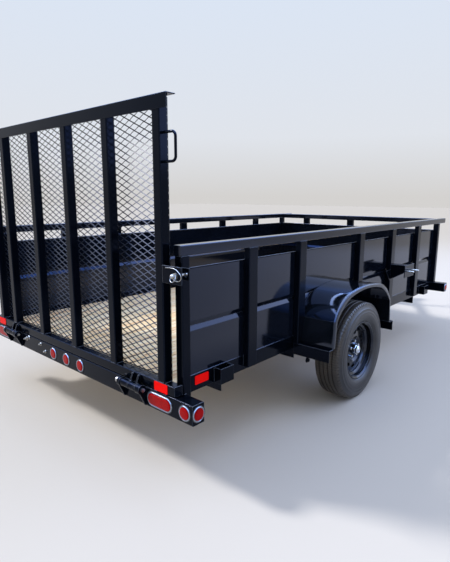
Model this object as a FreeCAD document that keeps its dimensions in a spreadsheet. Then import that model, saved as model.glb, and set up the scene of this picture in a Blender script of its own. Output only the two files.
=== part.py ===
import FreeCAD, Part

import Sketcher
import math
import os
import re

# Single-axle utility trailer with solid steel sides and a tall mesh ramp gate.
# +X points forward to the coupler, +Y to the left and +Z up. The origin is on the ground,
# under the middle of the whole trailer's length and width. All sizes are in millimetres.

doc = FreeCAD.newDocument("UtilityTrailer")
sheet = doc.addObject("Spreadsheet::Sheet", "Dims")

driving = {
    # bed and frame
    "bedLength": 3658.0, "bedWidth": 2006.0, "frameBottom": 427.0, "frameLeg": 88.9,
    "frameFlange": 50.8, "angleThick": 4.8, "tubeSize": 50.8, "tubeWall": 3.2,
    "tubeRound": 5.0, "boardThick": 38.0, "boardWidth": 184.0, "boardCount": 10.0,
    "boardEdge": 3.0, "boardEnd": 1.0, "crossLeg": 76.2, "crossFlange": 50.8,
    "crossFirst": 313.0, "crossPitch": 709.0, "postBottom": 450.0, "sillLift": 25.0,
    # sides
    "railTop": 1178.5, "panelTop": 1063.7, "panelThick": 2.5, "beadDepth": 10.0,
    "beadHeight": 50.0, "beadCentre": 770.0, "uprightWidth": 76.2, "uprightDepth": 38.1,
    "railRearReach": 5.0, "railFrontReach": 160.0, "pocketLong": 104.0, "pocketDeep": 50.0,
    "pocketTall": 85.0, "pocketInset": 254.0, "pocketWall": 4.8, "frontPitch": 600.0,
    # bumper and lamps
    "bumperTop": 452.0, "bumperHeight": 101.6, "bumperDepth": 76.2, "bumperReach": 121.0,
    "ovalLong": 184.0, "ovalTall": 76.0, "ovalInset": 233.5, "roundRing": 76.0,
    "ringWide": 8.0, "ringProud": 5.0, "lensProud": 8.0, "lensPlay": 0.3,
    "markerInset": 53.0, "idPitch": 160.0, "frontBarReach": 116.0,
    "reflectorLong": 98.0, "reflectorTall": 47.0, "reflectorThick": 3.0,
    "sideReflectorX": 112.0, "sideReflectorDrop": 12.0, "reflectorInset": 50.0,
    "reflectorLift": 1.0,
    # gate
    "gateTop": 1837.0, "gateInset": 71.0, "gatePitch": 400.0, "gateLift": 5.0,
    "gateRailInset": 18.0, "gateAngleLeg": 63.5, "gateGap": 8.0,
    "meshThick": 3.0, "meshWide": 122.0, "meshTall": 62.0, "meshStrand": 9.0, "meshLap": 4.0,
    "hingeBack": 27.0, "hingeDrop": 9.0, "hingePin": 19.0, "hingePlay": 0.05, "hingeGap": 2.0,
    "hingeRight": 790.0, "hingeLeft": 600.0, "bossSize": 50.0, "bossLong": 35.0,
    "outerBossLong": 20.0, "earThick": 9.5, "earMargin": 4.0, "earFoot": 8.0,
    "sleeveOuter": 42.0, "sleeveLength": 126.0, "sleeveRing": 44.0, "strapInset": 8.0,
    "strapPitch": 50.0, "pinHead": 30.0, "pinHeadLong": 26.0, "pinTail": 10.0,
    "handleTop": 1677.0, "handleTall": 126.0, "handleReach": 78.0, "handleRod": 13.0,
    "handleBend": 22.0, "latchZ": 1048.0, "latchTall": 82.0, "latchEdge": 34.5,
    "latchPin": 12.7, "latchThick": 6.0, "latchReach": 23.5, "latchHole": 24.0,
    "latchTail": 26.0, "latchCollar": 28.0, "latchCollarLong": 8.0, "lugTall": 60.0,
    # wheels, axle and springs
    "axleX": 1498.0, "tyreOuter": 686.0, "tyreSection": 203.0, "tyreBulge": 62.0,
    "rimSeat": 381.0, "rimFlange": 408.0, "rimWidth": 168.0, "seatInset": 10.0,
    "shoulderIn": 12.0, "shoulderDown": 18.0, "treadIn": 32.0, "beadPlay": 0.3,
    "discOut": 18.0, "discThick": 6.0, "hubPlay": 0.06,
    "trackOut": 155.1, "nutCircle": 114.3, "nutSize": 21.0, "nutLong": 22.0,
    "ventCircle": 252.0, "ventLong": 44.0, "ventWide": 32.0, "ventCount": 10.0,
    "beamSize": 60.3, "beamInset": 92.0, "spindleSize": 38.0, "spindleReach": 20.0,
    "springSpan": 640.0, "springWidth": 44.5, "leafThick": 6.4, "eyeDrop": 62.0,
    "eyeOuter": 30.0, "hangerLong": 48.0, "hangerThick": 6.4, "hangerDrop": 20.0,
    "clampRod": 11.0, "clampPlay": 0.5, "clampTail": 22.0, "tieLong": 100.0,
    "tieSide": 15.0, "tieThick": 9.5,
    # fenders and spare mount
    "fenderWidth": 260.0, "fenderThick": 2.5, "fenderHalf": 440.0, "fenderTop": 812.0,
    "fenderLip": 24.0, "fenderRoll": 12.0, "kneeIn": 14.0, "kneeUp": 170.0, "turnIn": 75.0,
    "turnDrop": 92.0, "crownIn": 190.0, "crownDrop": 26.0, "supportTop": 464.0,
    "supportLeg": 76.2, "supportFlange": 50.8, "supportPlay": 3.0, "spareX": 2466.5,
    "armReach": 140.0, "armDrop": 8.0, "armOuter": 48.0, "armInner": 130.0,
    "braceLong": 92.0, "braceTall": 104.0, "spareZ": 788.0, "sparePlateLong": 203.0,
    "sparePlateTall": 104.0, "sparePlateThick": 6.4, "studPitch": 108.7, "studSize": 12.7,
    "studLong": 58.0,
    # tongue, coupler and jack
    "tongueReach": 1230.0, "tongueLeg": 76.2, "tongueFlange": 41.0, "tongueThick": 5.2,
    "tongueSpread": 850.0, "tongueNose": 48.0, "couplerLong": 250.0, "couplerWidth": 92.0,
    "wingLong": 150.0, "wingThick": 5.0, "ballSize": 50.8, "ballPlay": 0.6, "ballRise": 26.0,
    "leverWide": 24.0, "jackTube": 57.2, "jackInner": 50.8, "jackPlay": 0.06,
    "jackBack": 470.0, "jackTop": 868.0, "jackOut": 200.0, "jackStart": 6.0,
    "jackCap": 14.0, "jackPlateLong": 180.0, "jackPlateThick": 9.5, "crankRise": 34.0,
    "crankLong": 150.0, "crankWide": 16.0, "crankThick": 8.0, "crankGrip": 26.0,
    "gripLong": 80.0, "footThick": 12.0, "footLong": 160.0, "footWide": 110.0,
}
for row, (alias, number) in enumerate(driving.items(), 1):
    sheet.set("A%d" % row, alias)
    sheet.set("B%d" % row, repr(number))
    sheet.setAlias("B%d" % row, alias)
doc.recompute()

# Places that follow from the driving sizes, each written once.
derived = {
    "rearReach": "gateGap + tubeSize + hingeBack + bossSize / 2",
    "rearX": "rearReach - (rearReach + bedLength + tongueReach) / 2",
    "frontX": "rearX + bedLength",
    "noseX": "frontX + tongueReach",
    "postY": "bedWidth / 2",
    "panelY": "bedWidth / 2 - uprightDepth",
    "frameTop": "frameBottom + frameLeg",
    "railLow": "railTop - tubeSize",
    "barRear": "frontX - bumperDepth",
    "boardLow": "frameBottom + angleThick",
    "deckTop": "frameBottom + angleThick + boardThick",
    "bumperRear": "rearX - gateGap - tubeSize",
    "bumperFront": "rearX - gateGap - tubeSize + bumperDepth",
    "sillFlange": "2 * tubeSize + gateGap - bumperDepth",
    "bumperLow": "bumperTop - bumperHeight",
    "bumperMid": "bumperTop - bumperHeight / 2",
    "gateFront": "rearX - gateGap",
    "gateRear": "rearX - gateGap - tubeSize",
    "gateLow": "bumperTop + gateLift",
    "gateSill": "bumperTop + gateLift + tubeSize",
    "hingeX": "rearX - gateGap - tubeSize - hingeBack",
    "hingeZ": "bumperTop - hingeDrop",
    "wheelX": "rearX + axleX",
    "wheelZ": "tyreOuter / 2",
    "eyeZ": "frameBottom - eyeDrop",
    "crossLow": "boardLow - crossLeg",
    "jackX": "noseX - jackBack",
    "tongueX": "rearX + crossFirst + 4 * crossPitch + angleThick",
    "springY": "panelY - frameFlange / 2",
    "bumperHalf": "postY + bumperReach",
    "ovalY": "bumperHalf - ovalInset",
    "markerY": "bumperHalf - markerInset",
    "frontBarHalf": "postY + frontBarReach",
    "gateHalf": "postY - gateInset",
    "gateRailHalf": "postY - gateRailInset",
    "latchOut": "postY + latchReach",
    "trackHalf": "panelY + trackOut",
    "seatX": "rimWidth / 2 - seatInset",
    "bulgeR": "rimSeat / 2 + tyreBulge",
    # where the tyre's flank crosses the rim's flange, so that the flange follows it
    "flangeX": "seatX + (tyreSection / 2 - seatX) * (rimFlange - rimSeat) / 2 / tyreBulge",
}
word = re.compile(r"[A-Za-z_]\w*")


def bound(text):
    # Writes a size in terms of the sheet's cells, opening up the derived names.
    def swap(match):
        name = match.group(0)
        if name in driving:
            return "Dims." + name
        if name in derived:
            return "(" + bound(derived[name]) + ")"
        return name
    return word.sub(swap, str(text))


def size(text):
    # The number that such a text stands for now.
    return float(sheet.evalExpression(bound(text)))


def bind(obj, **fields):
    for field, text in fields.items():
        obj.setExpression(field, bound(text))


def seat(obj, x, y, z):
    for axis, text in zip("xyz", (x, y, z)):
        obj.setExpression("Placement.Base." + axis, bound(text))


parts = {}


def keep(node, obj):
    obj.Label = node
    parts[node] = obj
    return obj


def box(name, low, lengths):
    obj = doc.addObject("Part::Box", name)
    bind(obj, Length=lengths[0], Width=lengths[1], Height=lengths[2])
    seat(obj, *low)
    return obj


def rounded(name, base, along):
    # Rounds the edges of a box that run along the axis with this index.
    base.recompute()
    picked = []
    for number, edge in enumerate(base.Shape.Edges, 1):
        run = edge.Vertexes[1].Point - edge.Vertexes[0].Point
        if abs(run[along]) > 0.9 * run.Length:
            picked.append((number, size("tubeRound"), size("tubeRound")))
    obj = doc.addObject("Part::Fillet", name)
    obj.Base = base
    obj.Edges = picked
    return obj


def tube(name, low, lengths, along, capped=False):
    # A rolled tube that runs along the axis with this index, open at its ends or capped.
    near = ["%s + tubeWall" % text for text in low]
    inner = ["%s - 2 * tubeWall" % text for text in lengths]
    if not capped:
        near[along] = "%s - 1" % low[along]
        inner[along] = "%s + 2" % lengths[along]
    outer = rounded(name + "Skin", box(name + "Outer", low, lengths), along)
    return cut(name, outer, box(name + "Inner", near, inner))


turns = {
    "y": FreeCAD.Rotation(FreeCAD.Vector(1, 0, 0), -90),
}


def rod(name, low, radius, length, axis):
    # A cylinder that starts at low and runs towards plus axis.
    obj = doc.addObject("Part::Cylinder", name)
    obj.Placement.Rotation = turns[axis]
    bind(obj, Radius=radius, Height=length)
    seat(obj, *low)
    return obj


def group(kind, name, pieces):
    obj = doc.addObject(kind, name)
    setattr(obj, "Links" if kind == "Part::Compound" else "Shapes", pieces)
    return obj


def separate(name, pieces):
    return group("Part::Compound", name, pieces)


def joined(name, pieces):
    obj = group("Part::MultiFuse", name, pieces)
    obj.Refine = True
    return obj


def cut(name, base, tool):
    obj = doc.addObject("Part::Cut", name)
    obj.Base = base
    obj.Tool = tool
    return obj


def outline(body, plane, points):
    # A closed polygon whose corners are held by distances from the plane's origin.
    sketch = body.newObject("Sketcher::SketchObject", body.Name + "Outline")
    origin = [o for o in body.Origin.OriginFeatures if o.Role == plane]
    sketch.AttachmentSupport = (origin[0], [""])
    sketch.MapMode = "FlatFace"
    spots = [FreeCAD.Vector(size(a), size(b), 0) for a, b in points]
    count = len(spots)
    for i in range(count):
        sketch.addGeometry(Part.LineSegment(spots[i], spots[(i + 1) % count]), False)
    rules = [Sketcher.Constraint("Coincident", i, 2, (i + 1) % count, 1) for i in range(count)]
    for i, spot in enumerate(spots):
        rules.append(Sketcher.Constraint("DistanceX", -1, 1, i, 1, spot.x))
        rules.append(Sketcher.Constraint("DistanceY", -1, 1, i, 1, spot.y))
    sketch.addConstraint(rules)
    for i, (a, b) in enumerate(points):
        sketch.setExpression("Constraints[%d]" % (count + 2 * i), bound(a))
        sketch.setExpression("Constraints[%d]" % (count + 2 * i + 1), bound(b))
    return sketch


def section(name, plane, points, length, place, both=False):
    # A rolled or folded section: an outline pushed along its plane's normal.
    body = doc.addObject("PartDesign::Body", name)
    pad = body.newObject("PartDesign::Pad", name + "Pad")
    pad.Profile = outline(body, plane, points)
    bind(pad, Length=length)
    if both:
        pad.SideType = "Symmetric"
    seat(body, *place)
    return body


def lathe(name, points, place):
    # A turned piece: an outline of (along, radius) spun about the Y axis.
    body = doc.addObject("PartDesign::Body", name)
    sketch = outline(body, "YZ_Plane", points)
    spin = body.newObject("PartDesign::Revolution", name + "Turn")
    spin.Profile = sketch
    spin.ReferenceAxis = (sketch, ["H_Axis"])
    spin.Angle = 360
    seat(body, *place)
    return body


def shape_node(node, shape, place=None):
    obj = doc.addObject("Part::Feature", node)
    obj.Shape = shape
    if place:
        obj.Placement = FreeCAD.Placement(FreeCAD.Vector(*place), FreeCAD.Rotation())
    return obj


def block(low, lengths):
    return Part.makeBox(*lengths, FreeCAD.Vector(*low))


def bar(low, radius, length, axis):
    # A round bar from the middle of its low end, along axis.
    return Part.makeCylinder(radius, length, FreeCAD.Vector(*low), FreeCAD.Vector(*axis))


def plate(corners, run):
    # A flat plate: its corners in order round one face, and its thickness as a vector.
    spots = [FreeCAD.Vector(*corner) for corner in corners]
    return Part.Face(Part.makePolygon(spots + spots[:1])).extrude(FreeCAD.Vector(*run))


sides = {"left": 1, "right": -1}


def span(side, near, far):
    # The lower Y of a piece that lies between two distances from the middle.
    return near if side > 0 else "-(" + far + ")"


def side_frame(name, side):
    outer = "%d * panelY" % side
    inner = "%d * (panelY - angleThick)" % side
    toe = "%d * (panelY - frameFlange)" % side
    points = [
        (outer, "frameBottom"), (outer, "frameTop"), (inner, "frameTop"),
        (inner, "boardLow"), (toe, "boardLow"), (toe, "frameBottom"),
    ]
    long = "bedLength - tubeSize - bumperDepth"
    place = ("rearX + tubeSize", "0", "0")
    keep("side_rail_" + name, section("SideRail" + name, "YZ_Plane", points, long, place))


def floor_frame():
    long = "2 * frontBarHalf"
    low = ("barRear", "-frontBarHalf", "frameBottom")
    keep("front_bar", tube("FrontBar", low, ("bumperDepth", long, "frameLeg"), 1, True))
    sill = [
        ("0", "bumperLow + sillLift"), ("angleThick", "bumperLow + sillLift"),
        ("angleThick", "frameBottom"), ("sillFlange", "frameBottom"), ("sillFlange", "boardLow"),
        ("angleThick", "boardLow"), ("angleThick", "deckTop"), ("0", "deckTop"),
    ]
    width = "2 * (postY - tubeSize)"
    keep("rear_sill", section("RearSill", "XZ_Plane", sill, width, ("bumperFront", "0", "0"), True))
    beams = []
    for i in range(5):
        x = "rearX + crossFirst + %d * crossPitch" % i
        half = "panelY - angleThick"
        lengths = ("angleThick", "2 * (%s)" % half, "crossLeg - angleThick")
        web = box("CrossWeb%d" % i, (x, "-(%s)" % half, "crossLow"), lengths)
        half = "panelY - frameFlange"
        lengths = ("crossFlange", "2 * (%s)" % half, "angleThick")
        leg = box("CrossLeg%d" % i, (x, "-(%s)" % half, "frameBottom"), lengths)
        beams.append(joined("Cross%d" % i, [web, leg]))
    keep("crossmembers", separate("Crossmembers", beams))
    deck_boards()


def deck_boards():
    count = int(size("boardCount"))
    pitch = "(2 * (panelY - angleThick - boardEdge) - boardWidth) / (boardCount - 1)"
    start = "bumperFront + angleThick + boardEnd"
    boards = []
    for i in range(count):
        y = "-(panelY - angleThick - boardEdge) + %d * (%s)" % (i, pitch)
        lengths = ("barRear - boardEnd - (%s)" % start, "boardWidth", "boardThick")
        boards.append(box("Board%d" % i, (start, y, "boardLow"), lengths))
    notches = []
    for label, side in sides.items():
        y = span(side, "postY - tubeSize - boardEnd", "postY")
        lengths = ("tubeSize + boardEnd", "tubeSize + boardEnd", "crossLeg")
        notches.append(box("BoardNotch" + label, ("rearX", y, "frameBottom"), lengths))
    keep("deck_boards", cut("DeckBoards", separate("BoardSet", boards), joined("BoardNotches", notches)))


def fender_wire(grow, y, foot):
    # The fender's outline at this Y, grown outwards: legs that lean in, shoulders and a crown.
    middle, half, top = size("wheelX"), size("fenderHalf") + grow, size("fenderTop") + grow
    # out from the wheel's middle, height
    stations = [
        (-half, foot), (size("kneeIn") - half, size("supportTop + kneeUp")),
        (size("turnIn") - half, top - size("turnDrop")), (size("crownIn") - half, top - size("crownDrop")),
        (0, top),
    ]
    stations += [(-dx, z) for dx, z in reversed(stations[:-1])]
    rear_foot, rear_knee, rear_turn, rear_crown, crown, far_crown, far_turn, far_knee, far_foot = [
        FreeCAD.Vector(middle + dx, y, z) for dx, z in stations
    ]
    edges = [
        Part.LineSegment(rear_foot, rear_knee), Part.Arc(rear_knee, rear_turn, rear_crown),
        Part.Arc(rear_crown, crown, far_crown), Part.Arc(far_crown, far_turn, far_knee),
        Part.LineSegment(far_knee, far_foot), Part.LineSegment(far_foot, rear_foot),
    ]
    return Part.Wire([edge.toShape() for edge in edges])


def fender_prism(grow, low_y, depth):
    # The closed block under the fender's skin, from low_y on and depth wide.
    face = Part.Face(fender_wire(grow, low_y, size("supportTop")))
    return face.extrude(FreeCAD.Vector(0, depth, 0))


def uprights(name, side):
    # name, middle of the upright ahead of the rear post's rear face, bottom
    stations = [
        ("Rear", "534", "postBottom"), ("Mid", "1036.5", "supportTop"), ("Over", "1861", "supportTop"),
        ("Spare", "spareX", "postBottom"), ("Front", "3075.7", "postBottom"),
    ]
    pieces = []
    for station, middle, low in stations:
        y = span(side, "panelY", "postY")
        place = ("rearX + %s - uprightWidth / 2" % middle, y, low)
        lengths = ("uprightWidth", "uprightDepth", "railLow - " + low)
        piece = tube("Upright" + station + name, place, lengths, 2)
        if station in ("Mid", "Over"):
            doc.recompute()
            low_y = size("panelY") if side > 0 else -size("postY")
            under = fender_prism(0.0, low_y - 1, size("uprightDepth") + 2)
            piece = cut("UprightCut" + station + name, piece, shape_node("Under" + station + name, under))
        pieces.append(piece)
    y = span(side, "postY - tubeSize", "postY")
    for end, x, low in (("Rear", "rearX", "frameBottom"), ("Front", "frontX - tubeSize", "frameTop")):
        post = tube("Post" + end + name, (x, y, low), ("tubeSize", "tubeSize", "railLow - " + low), 2)
        if end == "Rear":
            # coped over the bumper's top
            lengths = ("bumperFront - rearX", "tubeSize", "bumperTop - frameBottom")
            post = cut("PostCoped" + name, post, box("PostCope" + name, (x, y, low), lengths))
        pieces.append(post)
    keep("side_posts_" + name, separate("SidePosts" + name, pieces))


def panel_points(face, inward):
    # Across the sheet: face is its outer plane, inward the sign that points into the bed.
    def at(depth):
        return "%s + %d * (%s)" % (face, inward, depth)
    low, high = "frameTop", "panelTop"
    bead = [
        ("beadCentre - beadHeight / 2", "0"), ("beadCentre", "beadDepth"),
        ("beadCentre + beadHeight / 2", "0"),
    ]
    outer = [(at("0"), low)] + [(at(d), z) for z, d in bead] + [(at("0"), high)]
    inner = [(at("panelThick"), high)] + [(at("panelThick + " + d), z) for z, d in reversed(bead)]
    inner.append((at("panelThick"), low))
    return outer + inner


def walls():
    for name, side in sides.items():
        points = panel_points("%d * panelY" % side, -side)
        long = "bedLength - 2 * tubeSize"
        place = ("rearX + tubeSize", "0", "0")
        keep("side_panel_" + name, section("SidePanel" + name, "YZ_Plane", points, long, place))
        y = span(side, "postY - tubeSize", "postY")
        low = ("rearX - railRearReach", y, "railLow")
        long = "bedLength + railRearReach + railFrontReach"
        keep("top_rail_" + name, tube("TopRail" + name, low, (long, "tubeSize", "tubeSize"), 0, True))
        uprights(name, side)
    inner = "2 * (postY - tubeSize)"
    low = ("frontX - tubeSize", "-(postY - tubeSize)", "railLow")
    keep("top_rail_front", tube("TopRailFront", low, ("tubeSize", inner, "tubeSize"), 1))
    points = panel_points("0", -1)
    place = ("frontX - uprightDepth", "0", "0")
    keep("front_panel", section("FrontPanel", "XZ_Plane", points, inner, place, True))
    pieces = []
    for i in range(3):
        low = ("frontX - uprightDepth", "%d * frontPitch - uprightWidth / 2" % (i - 1), "frameTop")
        lengths = ("uprightDepth", "uprightWidth", "railLow - frameTop")
        pieces.append(tube("FrontUpright%d" % i, low, lengths, 2))
    keep("front_uprights", separate("FrontUprights", pieces))


def stake_pockets(name, side):
    pieces = []
    for i, x in enumerate(("rearX + pocketInset", "frontX - pocketInset - pocketLong")):
        low = (x, span(side, "panelY", "panelY + pocketDeep"), "frameBottom")
        outer = box("PocketOuter%s%d" % (name, i), low, ("pocketLong", "pocketDeep", "pocketTall"))
        y = span(side, "panelY - 1", "panelY + pocketDeep - pocketWall")
        lengths = ("pocketLong - 2 * pocketWall", "pocketDeep - pocketWall + 1", "pocketTall + 2")
        inner = box("PocketInner%s%d" % (name, i), (x + " + pocketWall", y, "frameBottom - 1"), lengths)
        pieces.append(cut("Pocket%s%d" % (name, i), outer, inner))
    keep("stake_pockets_" + name, separate("StakePockets" + name, pieces))


def oval(long, wide, depth, middle, along, facing):
    # A block with two round ends, from the middle of its back face, pushed out along facing.
    if long == wide:
        return bar(middle, wide / 2, depth, facing)
    straight, radius = (long - wide) / 2, wide / 2
    right, left = FreeCAD.Vector(straight, 0, 0), FreeCAD.Vector(-straight, 0, 0)
    up, out = FreeCAD.Vector(0, radius, 0), FreeCAD.Vector(radius, 0, 0)
    edges = [
        Part.Arc(right + up, right + out, right - up), Part.LineSegment(right - up, left - up),
        Part.Arc(left - up, left - out, left + up), Part.LineSegment(left + up, right + up),
    ]
    solid = Part.Face(Part.Wire([edge.toShape() for edge in edges])).extrude(FreeCAD.Vector(0, 0, depth))
    turn = FreeCAD.Rotation(FreeCAD.Vector(*along), FreeCAD.Vector(), FreeCAD.Vector(*facing), "ZXY")
    solid.Placement = FreeCAD.Placement(FreeCAD.Vector(*middle), turn)
    return solid


def lamps():
    rear, mid, end = size("bumperRear"), size("bumperMid"), size("bumperHalf")
    long, tall = size("ovalLong"), size("ovalTall")
    round_ = size("roundRing")
    middle = size("bumperRear + bumperDepth / 2")
    front = (size("frontX - bumperDepth / 2"), size("frontBarHalf"), size("frameBottom + frameLeg / 2"))
    # name, length, height, place on its face, outward normal
    pitch = size("idPitch")
    stations = [("Id%d" % i, round_, round_, (rear, i * pitch, mid), (-1, 0, 0)) for i in range(-1, 2)]
    for label, side in sides.items():
        stations += [
            ("Oval" + label, long, tall, (rear, side * size("ovalY"), mid), (-1, 0, 0)),
            ("Rear" + label, round_, round_, (rear, side * size("markerY"), mid), (-1, 0, 0)),
            ("End" + label, round_, round_, (middle, side * end, mid), (0, side, 0)),
            ("Front" + label, round_, round_, (front[0], side * front[1], front[2]), (0, side, 0)),
        ]
    proud, lens = size("ringProud"), size("lensProud")
    inset = 2 * size("ringWide")
    play = inset + 2 * size("lensPlay")
    rings, lenses = [], []
    for label, wide, high, spot, normal in stations:
        along = (abs(normal[1]), abs(normal[0]), 0)
        outer = oval(wide, high, proud, spot, along, normal)
        hole = oval(wide - inset, high - inset, proud + 1, spot, along, normal)
        rings.append(shape_node("Ring" + label, outer.cut(hole)))
        inner = oval(wide - play, high - play, lens, spot, along, normal)
        lenses.append(shape_node("Lens" + label, inner))
    keep("lamp_rings", separate("LampRings", rings))
    keep("lamp_lenses", separate("LampLenses", lenses))


def bumper():
    low = ("bumperRear", "-bumperHalf", "bumperLow")
    keep("bumper", tube("Bumper", low, ("bumperDepth", "2 * bumperHalf", "bumperHeight"), 1, True))
    lamps()
    pieces = []
    lengths = ("reflectorLong", "reflectorThick", "reflectorTall")
    for label, side in sides.items():
        y = span(side, "panelY", "panelY + reflectorThick")
        low = ("rearX + sideReflectorX", y, "frameTop - sideReflectorDrop - reflectorTall")
        pieces.append(box("SideReflector" + label, low, lengths))
    keep("side_reflectors", separate("SideReflectors", pieces))


def fenders(name, side):
    thick, roll, lip = size("fenderThick"), size("fenderRoll"), size("fenderLip")
    inner, outer = size("panelY"), size("panelY + fenderWidth")
    foot = size("supportTop")

    def shell(inset):
        # The closed form, one sheet further in or not, with its outer shoulder rolled in three flats.
        start = side * (inner - (1 if inset else 0))
        wires = [fender_wire(-inset, start, foot - inset)]
        for degrees in range(0, 91, 30):
            lean = math.radians(degrees)
            y = outer - roll + (roll - inset) * math.sin(lean)
            drop = inset + (roll - inset) * (1 - math.cos(lean))
            wires.append(fender_wire(-drop, side * y, foot - inset))
        return Part.makeLoft(wires, True, True)
    low_y = outer - 2 * thick if side > 0 else -outer - thick
    mouth = fender_prism(-lip, low_y, 3 * thick)
    keep("fender_" + name, shape_node("Fender" + name, shell(0).cut(shell(thick)).cut(mouth)))


def fender_supports():
    pieces = []
    for name, side in sides.items():
        for end in (-1, 1):
            heel = "%d * (fenderHalf + supportFlange - supportPlay)" % end
            web = heel + " + %d * angleThick" % -end
            toe = heel + " + %d * supportFlange" % -end
            points = [
                (heel, "0"), (web, "0"), (web, "supportLeg - angleThick"),
                (toe, "supportLeg - angleThick"), (toe, "supportLeg"), (heel, "supportLeg"),
            ]
            place = ("wheelX", "%d * (panelY + fenderWidth / 2)" % side, "supportTop - supportLeg")
            label = "FenderSupport%s%d" % (name, end + 1)
            pieces.append(section(label, "XZ_Plane", points, "fenderWidth", place, True))
    keep("fender_supports", separate("FenderSupports", pieces))


def spare_mount():
    x, wide, thick = size("rearX + spareX"), size("uprightWidth"), size("angleThick")
    near, far = -size("postY"), -size("postY + armReach")
    low = size("spareZ - sparePlateTall / 2")
    top = size("spareZ + sparePlateTall / 2 - armDrop")
    corners = [(near, top), (far, top), (far, top - size("armOuter")), (near, top - size("armInner"))]
    pieces = [block((x - wide / 2, far, top - thick), (wide, size("armReach"), thick))]
    for start in (x - wide / 2, x + wide / 2 - thick):
        pieces.append(plate([(start, y, z) for y, z in corners], (thick, 0, 0)))
    long = size("sparePlateLong")
    lengths = (long, size("sparePlateThick"), size("sparePlateTall"))
    pieces.append(block((x - long / 2, far - size("sparePlateThick"), low), lengths))
    heel, brace_top = x - wide / 2, top - size("armOuter")
    toe, brace_low = heel - size("braceLong"), brace_top - size("braceTall")
    corners = [(heel, near, brace_top), (toe, near, brace_top), (heel, near, brace_low)]
    brace = plate(corners, (0, thick, 0))
    bracket = pieces[0].multiFuse(pieces[1:]).removeSplitter()
    pieces = [shape_node("SpareArm", bracket), shape_node("SpareBrace", brace)]
    keep("spare_bracket", separate("SpareBracket", pieces))
    studs = []
    for i in (-1, 1):
        y = "-(postY + armReach + sparePlateThick + studLong)"
        place = ("rearX + spareX + %d * studPitch / 2" % i, y, "spareZ")
        studs.append(rod("SpareStud%d" % (i + 1), place, "studSize / 2", "studLong", "y"))
    keep("spare_studs", separate("SpareStuds", studs))


def spring_pack(low_y):
    # Four leaves, each shorter than the one above, between two eyes.
    half, wide, thick = size("springSpan / 2"), size("springWidth"), size("leafThick")
    middle, eye = size("wheelX"), size("eyeZ")
    rise = size("wheelZ - beamSize / 2") - eye
    solids = []
    for k, share in enumerate((1.0, 0.78, 0.56, 0.36)):
        run, top = half * share, eye + rise - k * thick
        tip = top - rise * share * share
        outer = [
            FreeCAD.Vector(middle + dx, low_y, z) for dx, z in ((-run, tip), (0, top), (run, tip))
        ]
        inner = [spot - FreeCAD.Vector(0, 0, thick) for spot in outer]
        edges = [
            Part.Arc(*outer), Part.LineSegment(outer[2], inner[2]),
            Part.Arc(*reversed(inner)), Part.LineSegment(inner[0], outer[0]),
        ]
        face = Part.Face(Part.Wire([edge.toShape() for edge in edges]))
        solids.append(face.extrude(FreeCAD.Vector(0, wide, 0)))
    for end in (-1, 1):
        solids.append(bar((middle + end * half, low_y, eye), size("eyeOuter") / 2, wide, (0, 1, 0)))
    return solids[0].multiFuse(solids[1:]).removeSplitter()


def u_bolt(y):
    # A round bar bent over the axle, its legs through the tie plate.
    radius = size("clampRod") / 2
    reach = size("beamSize") / 2 + radius + size("clampPlay")
    low = size("wheelZ - beamSize / 2 - 4 * leafThick - clampTail")
    middle = FreeCAD.Vector(size("wheelX"), y, size("wheelZ"))
    spots = [middle + FreeCAD.Vector(dx, 0, dz) for dx, dz in ((-reach, 0), (0, reach), (reach, 0))]
    feet = [FreeCAD.Vector(spot.x, y, low) for spot in (spots[0], spots[2])]
    edges = [Part.LineSegment(feet[0], spots[0]), Part.Arc(*spots), Part.LineSegment(spots[2], feet[1])]
    path = Part.Wire([edge.toShape() for edge in edges])
    ring = Part.Wire(Part.makeCircle(radius, feet[0], FreeCAD.Vector(0, 0, 1)))
    return path.makePipeShell([ring], True, False)


def running_gear():
    core = "trackHalf - beamInset"
    beam = rod("AxleBeam", ("wheelX", "-(%s)" % core, "wheelZ"), "beamSize / 2", "2 * (%s)" % core, "y")
    bars = [beam]
    for name, side in sides.items():
        low = ("wheelX", span(side, core, "trackHalf + spindleReach"), "wheelZ")
        bars.append(rod("Spindle" + name, low, "spindleSize / 2", "beamInset + spindleReach", "y"))
    keep("axle", joined("Axle", bars))
    wide, thick = size("springWidth"), size("hangerThick")
    radius, play = size("clampRod") / 2, size("clampPlay")
    tie_low = size("wheelZ - beamSize / 2 - 4 * leafThick - tieThick")
    leaves, hangers, clamps = [], [], []
    for name, side in sides.items():
        low_y = side * size("springY") - wide / 2
        leaves.append(shape_node("Spring" + name, spring_pack(low_y)))
        for end in (-1, 1):
            x = size("wheelX") + end * size("springSpan") / 2 - size("hangerLong") / 2
            low = size("eyeZ - hangerDrop")
            lengths = (size("hangerLong"), thick, size("frameBottom") - low)
            for k, y in enumerate((low_y - thick, low_y + wide)):
                hangers.append(shape_node("Hanger%s%d%d" % (name, end + 1, k), block((x, y, low), lengths)))
        low = (size("wheelX - tieLong / 2"), low_y - size("tieSide"), tie_low)
        tie = block(low, (size("tieLong"), wide + 2 * size("tieSide"), size("tieThick")))
        bolts = [u_bolt(low_y - radius - play), u_bolt(low_y + wide + radius + play)]
        clamps.append(shape_node("Clamp" + name, tie.multiFuse(bolts).removeSplitter()))
    keep("leaf_springs", separate("LeafSprings", leaves))
    keep("spring_hangers", separate("SpringHangers", hangers))
    keep("axle_clamps", separate("AxleClamps", clamps))


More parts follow.
